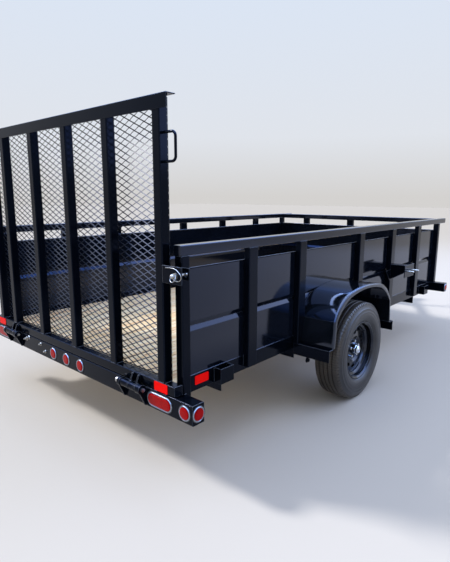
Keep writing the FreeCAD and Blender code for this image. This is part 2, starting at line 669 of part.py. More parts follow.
def wheel(name, side):
    place = ("wheelX", "%d * trackHalf" % side, "wheelZ")

    def turned(points):
        # (out, radius) points, with out measured away from the trailer
        return [("%d * (%s)" % (side, out), radius) for out, radius in points]
    outer, half = "tyreOuter / 2", "tyreSection / 2"
    flank = [
        ("seatX", "rimSeat / 2"), (half, "bulgeR"), (half + " - shoulderIn", outer + " - shoulderDown"),
        (half + " - treadIn", outer),
    ]
    tyre = flank + [("-(%s)" % out, radius) for out, radius in reversed(flank)]
    keep("tyre_" + name, lathe("Tyre" + name, turned(tyre), place))
    flange, bed, back = "rimFlange / 2", "rimSeat / 2", "discOut - discThick"
    outer_lip = [
        ("seatX", bed), ("flangeX + beadPlay", flange), ("rimWidth / 2", flange),
        ("rimWidth / 2", flange + " - 6"), ("seatX + 1", bed + " - 4"),
    ]
    inner_lip = [("-(%s)" % out, radius) for out, radius in reversed(outer_lip)]
    disc = [
        ("44", bed + " - 6"), ("34", bed + " - 22"), ("22", bed + " - 26"), ("30", "130"), ("36", "92"),
        ("24", "74"), ("discOut", "70"), ("discOut", "34"), (back, "34"), (back, "74"), ("18", "80"),
        ("30", "94"), ("24", "130"), ("14", bed + " - 30"), ("-60", bed + " - 12"),
    ]
    well = [
        ("-54", bed), ("-48", bed + " - 10"), ("26", bed + " - 18"), ("30", bed + " - 18"), ("50", bed),
    ]
    blank = lathe("RimBlank" + name, turned(outer_lip + disc + inner_lip + well), place)
    doc.recompute()
    middle = FreeCAD.Vector(size("wheelX"), side * size("trackHalf"), size("wheelZ"))
    holes = []
    for i in range(int(size("ventCount"))):
        turn = 2 * math.pi * (i + 0.5) / size("ventCount")
        out = FreeCAD.Vector(math.cos(turn), 0, math.sin(turn))
        spot = middle + out * (size("ventCircle") / 2) - FreeCAD.Vector(0, size("rimWidth") / 2, 0)
        around = (-out.z, 0, out.x)
        hole = oval(size("ventLong"), size("ventWide"), size("rimWidth"), spot, around, (0, 1, 0))
        holes.append(hole)
    vents = shape_node("Vents" + name, holes[0].multiFuse(holes[1:]))
    keep("rim_" + name, cut("Rim" + name, blank, vents))
    bore = "spindleSize / 2 + hubPlay"
    hub = [
        ("-64", bore), ("-64", "46"), ("-10", "46"), ("-10", "70"), (back, "70"), (back, "33.5"),
        ("52", "32"), ("52", "29"), ("64", "28"), ("69", "22"), ("69", "0"), ("24", "0"), ("24", bore),
    ]
    keep("hub_" + name, lathe("Hub" + name, turned(hub), place))
    nuts = []
    for i in range(5):
        turn = 2 * math.pi * i / 5 + math.pi / 2
        spot = middle + FreeCAD.Vector(math.cos(turn), 0, math.sin(turn)) * (size("nutCircle") / 2)
        spot.y = side * size("trackHalf + discOut")
        radius = size("nutSize") / 2
        corners = []
        for k in range(6):
            lean = k * math.pi / 3
            corners.append((spot.x + radius * math.cos(lean), spot.y, spot.z + radius * math.sin(lean)))
        nut = plate(corners, (0, side * size("nutLong"), 0))
        nuts.append(shape_node("Nut%s%d" % (name, i), nut))
    keep("lug_nuts_" + name, separate("LugNuts" + name, nuts))


def gate():
    over = "tubeSize + angleThick"
    rail = [
        ("0", "0"), (over, "0"), (over, "-angleThick"), ("angleThick", "-angleThick"),
        ("angleThick", "-gateAngleLeg"), ("0", "-gateAngleLeg"),
    ]
    place = ("gateRear - angleThick", "0", "gateTop")
    keep("gate_top_rail", section("GateTopRail", "XZ_Plane", rail, "2 * gateRailHalf", place, True))
    low = ("gateRear", "-postY", "gateLow")
    keep("gate_sill", tube("GateSill", low, ("tubeSize", "2 * postY", "tubeSize"), 1, True))
    posts = []
    places = ["-gateHalf + %d * gatePitch" % i for i in range(5)] + ["gateHalf - tubeSize"]
    for i, y in enumerate(places):
        lengths = ("tubeSize", "tubeSize", "gateTop - angleThick - gateSill")
        posts.append(tube("GatePost%d" % i, ("gateRear", y, "gateSill"), lengths, 2))
    keep("gate_posts", separate("GatePosts", posts))
    mesh()
    pieces = []
    edge = "postY - reflectorInset"
    lengths = ("reflectorThick", "reflectorLong", "reflectorTall")
    for label, side in sides.items():
        y = span(side, edge + " - reflectorLong", edge)
        low = ("gateRear - reflectorThick", y, "gateLow + reflectorLift")
        pieces.append(box("GateReflector" + label, low, lengths))
    keep("gate_reflectors", separate("GateReflectors", pieces))


def mesh():
    # A flattened diamond mesh, drawn coarser than life: bars around diamond holes.
    wide, tall, bar = size("meshWide"), size("meshTall"), size("meshStrand")
    lap = size("meshLap")
    left, right = lap - size("gateHalf"), size("gateHalf") - lap
    low, high = size("gateSill") - lap, size("gateTop - angleThick") - lap
    x = size("gateFront")
    border = [(left, low), (right, low), (right, high), (left, high), (left, low)]
    rim = Part.makePolygon([FreeCAD.Vector(x, y, z) for y, z in border])
    columns = int((right - left - 2 * bar) // wide)
    rows = int((high - low - 2 * bar) // tall)
    start_y = (left + right - columns * wide) / 2
    start_z = (low + high - rows * tall) / 2
    half_y, half_z = wide / 2 - bar, tall / 2 - bar * tall / wide
    holes = []
    for row in range(2 * rows - 1):
        for column in range(columns - row % 2):
            y = start_y + wide * (column + 0.5 + 0.5 * (row % 2))
            z = start_z + tall * (row + 1) / 2
            spots = [(y - half_y, z), (y, z + half_z), (y + half_y, z), (y, z - half_z), (y - half_y, z)]
            holes.append(Part.makePolygon([FreeCAD.Vector(x, a, b) for a, b in spots]))
    sheet_face = Part.Face([rim] + holes)
    keep("gate_mesh", shape_node("GateMesh", sheet_face.extrude(FreeCAD.Vector(size("meshThick"), 0, 0))))


def hinge_ear(y, low, long):
    # An ear on the bumper's rear face: a plate at y that narrows to its foot, and a boss from low.
    x, z, radius = size("hingeX"), size("hingeZ"), size("bossSize") / 2
    back, foot = size("bumperRear"), size("bumperLow + earMargin")
    within = 0.9 * radius
    corners = [
        (back, foot), (back, size("bumperTop - earMargin")), (x, z + within), (x - within, z),
        (back - size("earFoot"), foot),
    ]
    ear = plate([(cx, y, cz) for cx, cz in corners], (0, size("earThick"), 0))
    return ear.fuse(bar((x, low, z), radius, long, (0, 1, 0)))


def gate_sleeve(start):
    # The gate's sleeve from its low end, with two straps up the sill's rear face.
    x, z, radius = size("hingeX"), size("hingeZ"), size("sleeveOuter") / 2
    rear, top = size("gateRear"), size("gateSill - earMargin")
    long, thick = size("sleeveLength"), size("earThick")
    solid = bar((x, start, z), radius, long, (0, 1, 0))
    corners = [
        (rear, size("gateLow + earMargin")), (rear, top), (rear - thick, top), (x, z + 0.9 * radius),
        (x, z - radius / 2),
    ]
    for k in range(2):
        y = start + size("strapInset") + k * size("strapPitch")
        solid = solid.fuse(plate([(cx, y, cz) for cx, cz in corners], (0, thick, 0)))
        solid = solid.fuse(bar((x, y, z), size("sleeveRing") / 2, thick, (0, 1, 0)))
    bore = bar((x, start - 1, z), size("hingePin") / 2 + size("hingePlay"), long + 2, (0, 1, 0))
    return solid.removeSplitter().cut(bore)


def gate_hinges():
    # From its low end towards +Y: the long ear, the gate's sleeve, the short ear and the pin's head.
    x, z, gap = size("hingeX"), size("hingeZ"), size("hingeGap")
    first, second, thick = size("bossLong"), size("outerBossLong"), size("earThick")
    sleeves, ears, pins = [], [], []
    for name, start in (("right", -size("hingeRight")), ("left", size("hingeLeft"))):
        sleeve = start + first + gap
        outer = sleeve + size("sleeveLength") + gap
        head = bar((x, outer + second, z), size("pinHead") / 2, size("pinHeadLong"), (0, 1, 0))
        tail = start - size("pinTail")
        pin = bar((x, tail, z), size("hingePin") / 2, outer + second - tail, (0, 1, 0))
        pins.append(shape_node("HingePin" + name, pin.fuse(head).removeSplitter()))
        for y, low, long in ((start, start, first), (outer + second - thick, outer, second)):
            ear = hinge_ear(y, low, long).removeSplitter().cut(pin)
            ears.append(shape_node("HingeEar%s%d" % (name, long), ear))
        sleeves.append(shape_node("Sleeve" + name, gate_sleeve(sleeve)))
    keep("gate_sleeves", separate("GateSleeves", sleeves))
    keep("hinge_ears", separate("HingeEars", ears))
    keep("hinge_pins", separate("HingePins", pins))


def handle(side):
    # A round bar bent to a D on the gate's edge post.
    x, bend, cos = size("gateRear + tubeSize / 2"), size("handleBend"), math.sqrt(0.5)
    inner, outer = size("gateHalf"), size("gateHalf + handleReach")
    top, low = size("handleTop"), size("handleTop - handleTall")
    near = bend * (1 - cos)
    # out from the middle, height
    spots = [
        (inner, top), (outer - bend, top), (outer - near, top - near), (outer, top - bend),
        (outer, low + bend), (outer - near, low + near), (outer - bend, low), (inner, low),
    ]
    spots = [FreeCAD.Vector(x, side * y, z) for y, z in spots]
    edges = [
        Part.LineSegment(spots[0], spots[1]), Part.Arc(*spots[1:4]), Part.LineSegment(spots[3], spots[4]),
        Part.Arc(*spots[4:7]), Part.LineSegment(spots[6], spots[7]),
    ]
    path = Part.Wire([edge.toShape() for edge in edges])
    ring = Part.Wire(Part.makeCircle(size("handleRod") / 2, spots[0], FreeCAD.Vector(0, side, 0)))
    return path.makePipeShell([ring], True, False)


def gate_latches():
    handles, plates, pins, lugs = [], [], [], []
    ahead = (1, 0, 0)
    middle, thick = size("latchZ"), size("latchThick")
    rear, post = size("gateRear"), size("rearX")
    tail, collar_long = size("latchTail"), size("latchCollarLong")
    for name, side in sides.items():
        handles.append(shape_node("Handle" + name, handle(side)))
        pin_y = side * size("latchOut")
        long = post + 2 * thick - rear + tail
        pin = bar((rear - tail, pin_y, middle), size("latchPin") / 2, long, ahead)
        low = (rear, size(span(side, "gateHalf", "latchOut + latchEdge")), size("latchZ - latchTall / 2"))
        lengths = (thick, size("latchOut + latchEdge - gateHalf"), size("latchTall"))
        plates.append(shape_node("LatchPlate" + name, block(low, lengths).cut(pin)))
        collar = bar((rear - collar_long, pin_y, middle), size("latchCollar") / 2, collar_long, ahead)
        pins.append(shape_node("LatchPin" + name, pin.fuse(collar).removeSplitter()))
        low = (post, size(span(side, "postY", "postY + 2 * latchReach")), size("latchZ - lugTall / 2"))
        lug = block(low, (thick, size("2 * latchReach"), size("lugTall")))
        hole = bar((post - thick, pin_y, middle), size("latchHole") / 2, 3 * thick, ahead)
        lugs.append(shape_node("LatchLug" + name, lug.cut(hole)))
    keep("latch_lugs", separate("LatchLugs", lugs))
    keep("gate_handles", separate("GateHandles", handles))
    keep("latch_plates", separate("LatchPlates", plates))
    keep("latch_pins", separate("LatchPins", pins))


def tongue(name, side):
    # A channel that runs from the foremost crossmember to the coupler, open towards the middle.
    start = FreeCAD.Vector(size("tongueX"), side * size("tongueSpread"), 0)
    end = FreeCAD.Vector(size("noseX - couplerLong"), side * size("tongueNose"), 0)
    run = end - start
    spare = size("tongueLeg")
    inward = "%d * " % -side
    flange, web = inward + "tongueFlange", inward + "tongueThick"
    points = [
        ("0", "0"), ("0", "tongueLeg"), (flange, "tongueLeg"), (flange, "tongueLeg - tongueThick"),
        (web, "tongueLeg - tongueThick"), (web, "tongueThick"), (flange, "tongueThick"), (flange, "0"),
    ]
    body = doc.addObject("PartDesign::Body", "TongueBar" + name)
    pad = body.newObject("PartDesign::Pad", "TonguePad" + name)
    pad.Profile = outline(body, "YZ_Plane", points)
    pad.Length = run.Length + 2 * spare
    low = FreeCAD.Vector(start.x, start.y, size("frameBottom - tongueLeg")) - run.normalize() * spare
    body.Placement = FreeCAD.Placement(low, FreeCAD.Rotation(FreeCAD.Vector(1, 0, 0), run))
    lengths = ("noseX - couplerLong - tongueX", "2 * postY", "frameBottom")
    keeper = box("TongueEnds" + name, ("tongueX", "-postY", "0"), lengths)
    mitred = doc.addObject("Part::Common", "Tongue" + name)
    mitred.Base = body
    mitred.Tool = keeper
    keep("tongue_" + name, mitred)


def tongue_edge(x):
    # How far from the middle the tongue's outer face is at this X.
    start, end = size("tongueX"), size("noseX - couplerLong")
    share = (x - start) / (end - start)
    return size("tongueSpread") + share * (size("tongueNose") - size("tongueSpread"))


def coupler():
    # An A-frame coupler: two wings along the tongue's outer faces that close to a round nose.
    nose, base, tall = size("noseX"), size("frameBottom - tongueLeg"), size("tongueLeg")
    heel, half = size("noseX - couplerLong"), size("couplerWidth") / 2
    back, thick = heel - size("wingLong"), size("wingThick")
    # along, out from the middle
    flank = [
        (heel, tongue_edge(heel)), (back, tongue_edge(back)), (back, tongue_edge(back) + thick),
        (heel, tongue_edge(heel) + thick), (nose - half, half),
    ]
    left = [FreeCAD.Vector(x, y, base) for x, y in flank]
    right = [FreeCAD.Vector(spot.x, -spot.y, base) for spot in reversed(left)]
    loop = right + left
    edges = [Part.LineSegment(a, b) for a, b in zip(loop, loop[1:])]
    edges.append(Part.Arc(left[-1], FreeCAD.Vector(nose, 0, base), right[0]))
    outer = Part.Face(Part.Wire([edge.toShape() for edge in edges]))
    body = outer.extrude(FreeCAD.Vector(0, 0, tall))
    ball = size("ballSize") / 2 + size("ballPlay")
    centre = FreeCAD.Vector(nose - half, 0, base + size("ballRise"))
    throat = bar((centre.x, 0, base - tall), ball, tall + size("ballRise"), (0, 0, 1))
    socket = Part.makeSphere(ball, centre).fuse(throat)
    keep("coupler", shape_node("Coupler", body.cut(socket)))
    # lever seen from the side: back from the nose, up from the coupler's top
    lever = [
        (-195, 0), (-160, 0), (-156, 16), (-70, 30), (-30, 30), (-30, 37), (-74, 37), (-166, 24), (-195, 24),
    ]
    wide = size("leverWide")
    corners = [(nose + dx, -wide / 2, base + tall + dz) for dx, dz in lever]
    keep("coupler_latch", shape_node("CouplerLatch", plate(corners, (0, wide, 0))))


def jack():
    x, z = size("jackX"), size("frameBottom")
    up = (0, 0, 1)
    half, sleeve = size("jackPlateLong") / 2, size("jackTube") / 2
    stations = ((-half, -1), (half, -1), (half, 1), (-half, 1))
    corners = [(x + dx, sign * tongue_edge(x + dx), z) for dx, sign in stations]
    thick = size("jackPlateThick")
    hole = bar((x, 0, z - thick), sleeve, 3 * thick, up)
    keep("jack_plate", shape_node("JackPlate", plate(corners, (0, 0, thick)).cut(hole)))
    low, top = size("footThick + jackOut + jackStart"), size("jackTop")
    inner = size("jackInner") / 2
    outer = bar((x, 0, low), sleeve, top - low, up)
    bore = bar((x, 0, low - 1), inner + size("jackPlay"), top - low + 1 - size("jackCap"), up)
    keep("jack_tube", shape_node("JackTube", outer.cut(bore)))
    rise, wide, arm = size("crankRise"), size("crankWide"), size("crankThick")
    stem = bar((x, 0, top), wide / 2, rise, up)
    crank = block((x - wide / 2, -wide / 2, top + rise - arm), (size("crankLong"), wide, arm))
    grip_x = x + size("crankLong") - wide
    grip = bar((grip_x, 0, top + rise), size("crankGrip") / 2, size("gripLong"), up)
    keep("jack_crank", shape_node("JackCrank", stem.multiFuse([crank, grip]).removeSplitter()))
    foot = size("footThick")
    long = size("jackTop - jackOut - jackCap") - foot - wide
    keep("jack_leg", shape_node("JackLeg", bar((x, 0, foot), inner, long, up)))
    low = (size("jackX - footLong / 2"), -size("footWide") / 2, 0)
    keep("jack_foot", shape_node("JackFoot", block(low, (size("footLong"), size("footWide"), foot))))


for label, sign in sides.items():
    side_frame(label, sign)
    stake_pockets(label, sign)
    fenders(label, sign)
    wheel(label, sign)
    tongue(label, sign)
floor_frame()
walls()
bumper()
fender_supports()
spare_mount()
running_gear()
gate()
gate_hinges()
gate_latches()
coupler()
jack()
doc.recompute()

faults = [o.Name for o in doc.Objects if "Invalid" in o.State or "Error" in o.State]
if faults:
    raise SystemExit("failed objects: " + ", ".join(faults))
for node, obj in parts.items():
    if obj.Shape.isNull() or not obj.Shape.isValid():
        raise SystemExit("bad shape: " + node)
os.makedirs("parts", exist_ok=True)
for node, obj in parts.items():
    obj.Shape.exportStep(os.path.join("parts", node + ".step"))
print(len(parts), "pieces written")
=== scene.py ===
import bpy
import bmesh
import math
from mathutils import Matrix, Vector


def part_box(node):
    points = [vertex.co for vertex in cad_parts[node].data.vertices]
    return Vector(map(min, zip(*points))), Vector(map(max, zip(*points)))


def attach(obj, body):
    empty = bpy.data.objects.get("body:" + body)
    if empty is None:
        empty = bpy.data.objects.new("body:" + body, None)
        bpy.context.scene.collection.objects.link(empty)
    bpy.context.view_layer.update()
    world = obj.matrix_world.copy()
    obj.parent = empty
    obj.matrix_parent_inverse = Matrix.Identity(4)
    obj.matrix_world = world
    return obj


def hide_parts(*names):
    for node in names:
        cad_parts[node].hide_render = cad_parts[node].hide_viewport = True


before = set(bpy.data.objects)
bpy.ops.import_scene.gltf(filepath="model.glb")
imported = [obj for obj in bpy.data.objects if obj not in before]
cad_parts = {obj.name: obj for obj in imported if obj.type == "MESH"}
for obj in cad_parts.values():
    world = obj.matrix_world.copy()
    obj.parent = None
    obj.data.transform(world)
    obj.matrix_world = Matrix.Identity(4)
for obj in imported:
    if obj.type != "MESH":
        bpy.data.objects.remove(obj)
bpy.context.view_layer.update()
print("frame loaded,", len(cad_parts), "pieces")

# Camera and light

cameraPlace = {
    "spot": (-3.8032, -2.5374, 1.3996), "turn": 0.731, "dip": 0.183, "roll": 0.003, "lens": 36.58,
}
light = {
    "sunStrength": 2.5, "sunSoftness": 8, "towardsSun": (-0.3, 0.62, 0.62), "sunColour": "#fff7ec",
    "skyStrength": 0.58, "skyColour": "#f2f5fa",
}
# what the camera and mirrored rays see, from the horizon at 0 to overhead at 1, and where it grows
backdrop = {
    "stops": [
        (0.0, "#d4d2d0"), (0.12, "#e0e4eb"), (0.37, "#dbe5f4"), (0.47, "#6f9cf0"), (0.8, "#a9c4f4"),
        (1.0, "#b9cff6"),
    ],
    "growsFrom": 0.38, "growsTo": 0.6, "strength": 8.0,
}
# name, colour, power, width, height, spot, what it faces
softboxes = [
    ("overhead", "#dce8ff", 210, 8.0, 8.0, (-1.5, -0.5, 8.0), (-1.5, -0.5, 0)),
    ("sideStrip", "#b9d0ff", 420, 11.0, 4.0, (6.5, -6.5, 4.2), (-0.5, -0.8, 0.9)),
]


def makeCamera():
    data = bpy.data.cameras.new("camera")
    data.lens = cameraPlace["lens"]
    data.sensor_width = 36
    data.sensor_fit = "HORIZONTAL"
    data.clip_end = 400
    turn, dip, roll = cameraPlace["turn"], cameraPlace["dip"], cameraPlace["roll"]
    ahead = Vector((math.cos(dip) * math.cos(turn), math.cos(dip) * math.sin(turn), -math.sin(dip)))
    flatRight = Vector((math.sin(turn), -math.cos(turn), 0))
    flatUp = flatRight.cross(ahead)
    right = math.cos(roll) * flatRight + math.sin(roll) * flatUp
    up = math.cos(roll) * flatUp - math.sin(roll) * flatRight
    camera = bpy.data.objects.new("camera", data)
    matrix = Matrix((right, up, -ahead)).transposed().to_4x4()
    matrix.translation = Vector(cameraPlace["spot"])
    camera.matrix_world = matrix
    bpy.context.scene.collection.objects.link(camera)
    bpy.context.scene.camera = camera


def linear(code):
    # sRGB hex to the linear values a shader takes
    parts = [int(code[i:i + 2], 16) / 255 for i in (1, 3, 5)]
    return tuple(c / 12.92 if c <= 0.04045 else ((c + 0.055) / 1.055) ** 2.4 for c in parts) + (1.0,)


def addNode(tree, kind, settings=None, links=None):
    # settings are the node's own fields, its inputs by name or number, or a ramp's stops
    node = tree.nodes.new("ShaderNode" + kind)
    for key, value in (settings or {}).items():
        if key == "stops":
            stops = node.color_ramp.elements
            while len(stops) < len(value):
                stops.new(0.5)
            for stop, (place, code) in zip(stops, value):
                stop.position = place
                stop.color = linear(code)
        elif isinstance(key, str) and hasattr(node, key):
            setattr(node, key, value)
        else:
            node.inputs[key].default_value = value
    for key, socket in (links or {}).items():
        tree.links.new(socket, node.inputs[key])
    return node


def makeWorld():
    world = bpy.data.worlds.new("paleSky")
    bpy.context.scene.world = world
    world.use_nodes = True
    tree = world.node_tree
    tree.nodes.clear()
    path = addNode(tree, "LightPath").outputs
    seen = addNode(tree, "Math", {"operation": "MAXIMUM"},
                   {0: path["Is Camera Ray"], 1: path["Is Glossy Ray"]})
    seenToo = addNode(tree, "Math", {"operation": "MAXIMUM"},
                      {0: seen.outputs[0], 1: path["Is Transmission Ray"]})
    # pale at the horizon and a soft blue overhead, as paint under open sky mirrors it
    ahead = addNode(tree, "TexCoord").outputs["Generated"]
    height = addNode(tree, "SeparateXYZ", {}, {0: ahead}).outputs["Z"]
    tone = addNode(tree, "ValToRGB", {"stops": backdrop["stops"]}, {"Fac": height})
    # the camera's own rays stay below where it grows stronger
    growth = {1: backdrop["growsFrom"], 2: backdrop["growsTo"], 3: 1.0, 4: backdrop["strength"]}
    power = addNode(tree, "MapRange", growth, {"Value": height})
    sky = addNode(tree, "Background", {
        "Color": linear(light["skyColour"]), "Strength": light["skyStrength"]})
    studio = addNode(tree, "Background", {},
                     {"Color": tone.outputs["Color"], "Strength": power.outputs[0]})
    mixed = addNode(tree, "MixShader", {},
                    {0: seenToo.outputs[0], 1: sky.outputs[0], 2: studio.outputs[0]})
    addNode(tree, "OutputWorld", {}, {"Surface": mixed.outputs[0]})


def hangLight(name, data, spot, backwards):
    # a light shines along its own -Z, so its Z points away from what it lights
    holder = bpy.data.objects.new(name, data)
    holder.location = spot
    holder.rotation_mode = "QUATERNION"
    holder.rotation_quaternion = Vector(backwards).to_track_quat("Z", "Y")
    bpy.context.scene.collection.objects.link(holder)


def makeLights():
    sun = bpy.data.lights.new("sun", "SUN")
    sun.energy = light["sunStrength"]
    sun.angle = math.radians(light["sunSoftness"])
    sun.color = linear(light["sunColour"])[:3]
    hangLight("sun", sun, (0, 0, 0), light["towardsSun"])
    for name, colour, power, wide, tall, spot, target in softboxes:
        panel = bpy.data.lights.new(name, "AREA")
        panel.energy = power
        panel.shape = "RECTANGLE"
        panel.size, panel.size_y = wide, tall
        panel.color = linear(colour)[:3]
        hangLight(name, panel, spot, Vector(spot) - Vector(target))


bpy.context.scene.view_settings.view_transform = "Standard"
makeCamera()
makeWorld()
makeLights()
print("camera and light placed")

# Materials

boardCount = 10
capDeep = 0.030  # the dust cap, from the hub's outer end
sipeCount = 120  # round each tread


def newMaterial(name):
    material = bpy.data.materials.new(name)
    material.use_nodes = True
    tree = material.node_tree
    return material, tree, tree.nodes["Principled BSDF"], addNode(tree, "TexCoord").outputs["Object"]


def powderCoat(name, deep, dusty, rough, roughSpread, peel, gloss, tint="#a9c0ff", edge=0.0):
    # powder sprayed and baked on steel: deep colour, a soft orange peel that blurs what it mirrors
    material, tree, shader, place = newMaterial(name)
    cloud = addNode(tree, "TexNoise", {"Scale": 2.3, "Detail": 5, "Roughness": 0.62}, {"Vector": place})
    stops = {"stops": [(0.35, deep), (0.78, dusty)]}
    tone = addNode(tree, "ValToRGB", stops, {"Fac": cloud.outputs["Fac"]})
    spread = addNode(tree, "MapRange", {3: rough, 4: rough + roughSpread},
                     {"Value": cloud.outputs["Fac"]})
    # orange peel is about 3 mm across, drawn at 5 mm so that it shows
    skin = addNode(tree, "TexNoise", {"Scale": 1 / 0.005, "Detail": 1}, {"Vector": place})
    # the sheet itself waves a little, some 160 mm from crest to crest
    wave = addNode(tree, "TexNoise", {"Scale": 1 / 0.16, "Detail": 1}, {"Vector": place})
    both = addNode(tree, "Math", {"operation": "MULTIPLY_ADD", 1: 9.0},
                   {0: wave.outputs["Fac"], 2: skin.outputs["Fac"]})
    bump = addNode(tree, "Bump", {"Strength": peel, "Distance": 0.0004}, {"Height": both.outputs[0]})
    colour = tone.outputs["Color"]
    if edge:
        # the Bevel node rounds the shading over the edges; on top of that a painted highlight mixes the
        # edges towards a pale sky blue, most on those that face up
        edgeRounding = addNode(tree, "Bevel", {"samples": 6, "Radius": edge})
        tree.links.new(edgeRounding.outputs["Normal"], bump.inputs["Normal"])
        flat = addNode(tree, "NewGeometry").outputs["True Normal"]
        match = addNode(tree, "VectorMath", {"operation": "DOT_PRODUCT"},
                        {0: edgeRounding.outputs["Normal"], 1: flat})
        edgeHighlight = addNode(tree, "MapRange", {1: 0.99, 2: 0.8, 3: 0.0, 4: 0.55},
                         {"Value": match.outputs["Value"]})
        lift = addNode(tree, "SeparateXYZ", {}, {0: edgeRounding.outputs["Normal"]}).outputs["Z"]
        above = addNode(tree, "MapRange", {1: -0.1, 2: 0.6, 3: 0.12, 4: 1.0}, {"Value": lift})
        share = addNode(tree, "Math", {"operation": "MULTIPLY"},
                        {0: edgeHighlight.outputs[0], 1: above.outputs[0]})
        colour = addNode(tree, "MixRGB", {"Color2": linear("#a3b1cc")},
                         {"Fac": share.outputs[0], "Color1": colour}).outputs[0]
    tree.links.new(colour, shader.inputs["Base Color"])
    tree.links.new(spread.outputs["Result"], shader.inputs["Roughness"])
    tree.links.new(bump.outputs["Normal"], shader.inputs["Normal"])
    shader.inputs["Specular IOR Level"].default_value = gloss
    shader.inputs["Specular Tint"].default_value = linear(tint)
    return material


def treatedPine():
    # pressure treated pine planks, planed and new: pale straw with amber grain, darker at the joints
    material, tree, shader, place = newMaterial("treatedPinePlanks")
    low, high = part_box("deck_boards")
    pitch = (high.y - low.y) / boardCount
    across = addNode(tree, "SeparateXYZ", {}, {0: place}).outputs["Y"]
    row = addNode(tree, "Math", {"operation": "SUBTRACT", 1: low.y}, {0: across})
    board = addNode(tree, "Math", {"operation": "DIVIDE", 1: pitch}, {0: row.outputs[0]})
    number = addNode(tree, "Math", {"operation": "FLOOR"}, {0: board.outputs[0]})
    chance = addNode(tree, "TexWhiteNoise", {"noise_dimensions": "1D"}, {"W": number.outputs[0]})
    shift = addNode(tree, "Math", {"operation": "MULTIPLY", 1: 40.0}, {0: chance.outputs["Value"]})
    moved = addNode(tree, "CombineXYZ", {}, {"X": shift.outputs[0], "Y": shift.outputs[0]})
    spot = addNode(tree, "VectorMath", {"operation": "ADD"}, {0: place, 1: moved.outputs[0]})
    # growth rings run along the plank
    stretch = addNode(tree, "VectorMath", {"operation": "MULTIPLY", 1: (0.55, 14.0, 14.0)},
                      {0: spot.outputs[0]})
    swirl = addNode(tree, "TexNoise", {"Scale": 1.1, "Detail": 3, "Distortion": 0.6},
                    {"Vector": stretch.outputs[0]})
    rings = addNode(tree, "Math", {"operation": "MULTIPLY", 1: 34.0}, {0: swirl.outputs["Fac"]})
    ring = addNode(tree, "Math", {"operation": "SINE"}, {0: rings.outputs[0]})
    grain = addNode(tree, "MapRange", {1: -1.0, 2: 1.0}, {"Value": ring.outputs[0]})
    stops = [(0.0, "#f2d6ab"), (0.4, "#fbe9c8"), (1.0, "#fff4dc")]
    wood = addNode(tree, "ValToRGB", {"stops": stops}, {"Fac": grain.outputs[0]})
    # fine fibres, some 1.5 mm wide and 60 mm long
    thread = addNode(tree, "VectorMath", {"operation": "MULTIPLY", 1: (16.0, 700.0, 700.0)},
                     {0: spot.outputs[0]})
    fibre = addNode(tree, "TexNoise", {"Scale": 1.0, "Detail": 3}, {"Vector": thread.outputs[0]})
    # amber heartwood in long streaks
    long = addNode(tree, "VectorMath", {"operation": "MULTIPLY", 1: (0.9, 9.0, 9.0)},
                   {0: spot.outputs[0]})
    streak = addNode(tree, "TexNoise", {"Scale": 1.0, "Detail": 4}, {"Vector": long.outputs[0]})
    heart = addNode(tree, "MapRange", {1: 0.54, 2: 0.72, 3: 0.0, 4: 0.5},
                    {"Value": streak.outputs["Fac"]})
    warmed = addNode(tree, "MixRGB", {"Color2": linear("#eab98a")},
                     {"Fac": heart.outputs[0], "Color1": wood.outputs["Color"]})
    # knots about 30 mm across the plank, here and there
    knotSpot = addNode(tree, "VectorMath", {"operation": "MULTIPLY", 1: (2.1, 6.0, 6.0)},
                       {0: spot.outputs[0]})
    knot = addNode(tree, "TexVoronoi", {"Scale": 1.0, "Randomness": 1.0}, {"Vector": knotSpot.outputs[0]})
    knotTone = addNode(tree, "MapRange", {1: 0.03, 2: 0.08, 3: 0.8, 4: 0.0},
                       {"Value": knot.outputs["Distance"]})
    knotted = addNode(tree, "MixRGB", {"Color2": linear("#b07a48")},
                      {"Fac": knotTone.outputs[0], "Color1": warmed.outputs[0]})
    shade = addNode(tree, "MapRange", {3: 0.9, 4: 1.0}, {"Value": chance.outputs["Value"]})
    toned = addNode(tree, "MixRGB", {"blend_type": "MULTIPLY", "Fac": 1.0},
                    {"Color1": knotted.outputs[0], "Color2": shade.outputs[0]})
    fibred = addNode(tree, "MixRGB", {"blend_type": "OVERLAY", "Fac": 0.15},
                     {"Color1": toned.outputs[0], "Color2": fibre.outputs["Fac"]})
    bump = addNode(tree, "Bump", {"Strength": 0.5, "Distance": 0.0008}, {"Height": fibre.outputs["Fac"]})
    tree.links.new(fibred.outputs[0], shader.inputs["Base Color"])
    tree.links.new(bump.outputs["Normal"], shader.inputs["Normal"])
    shader.inputs["Roughness"].default_value = 0.72
    shader.inputs["Specular IOR Level"].default_value = 0.1
    return material


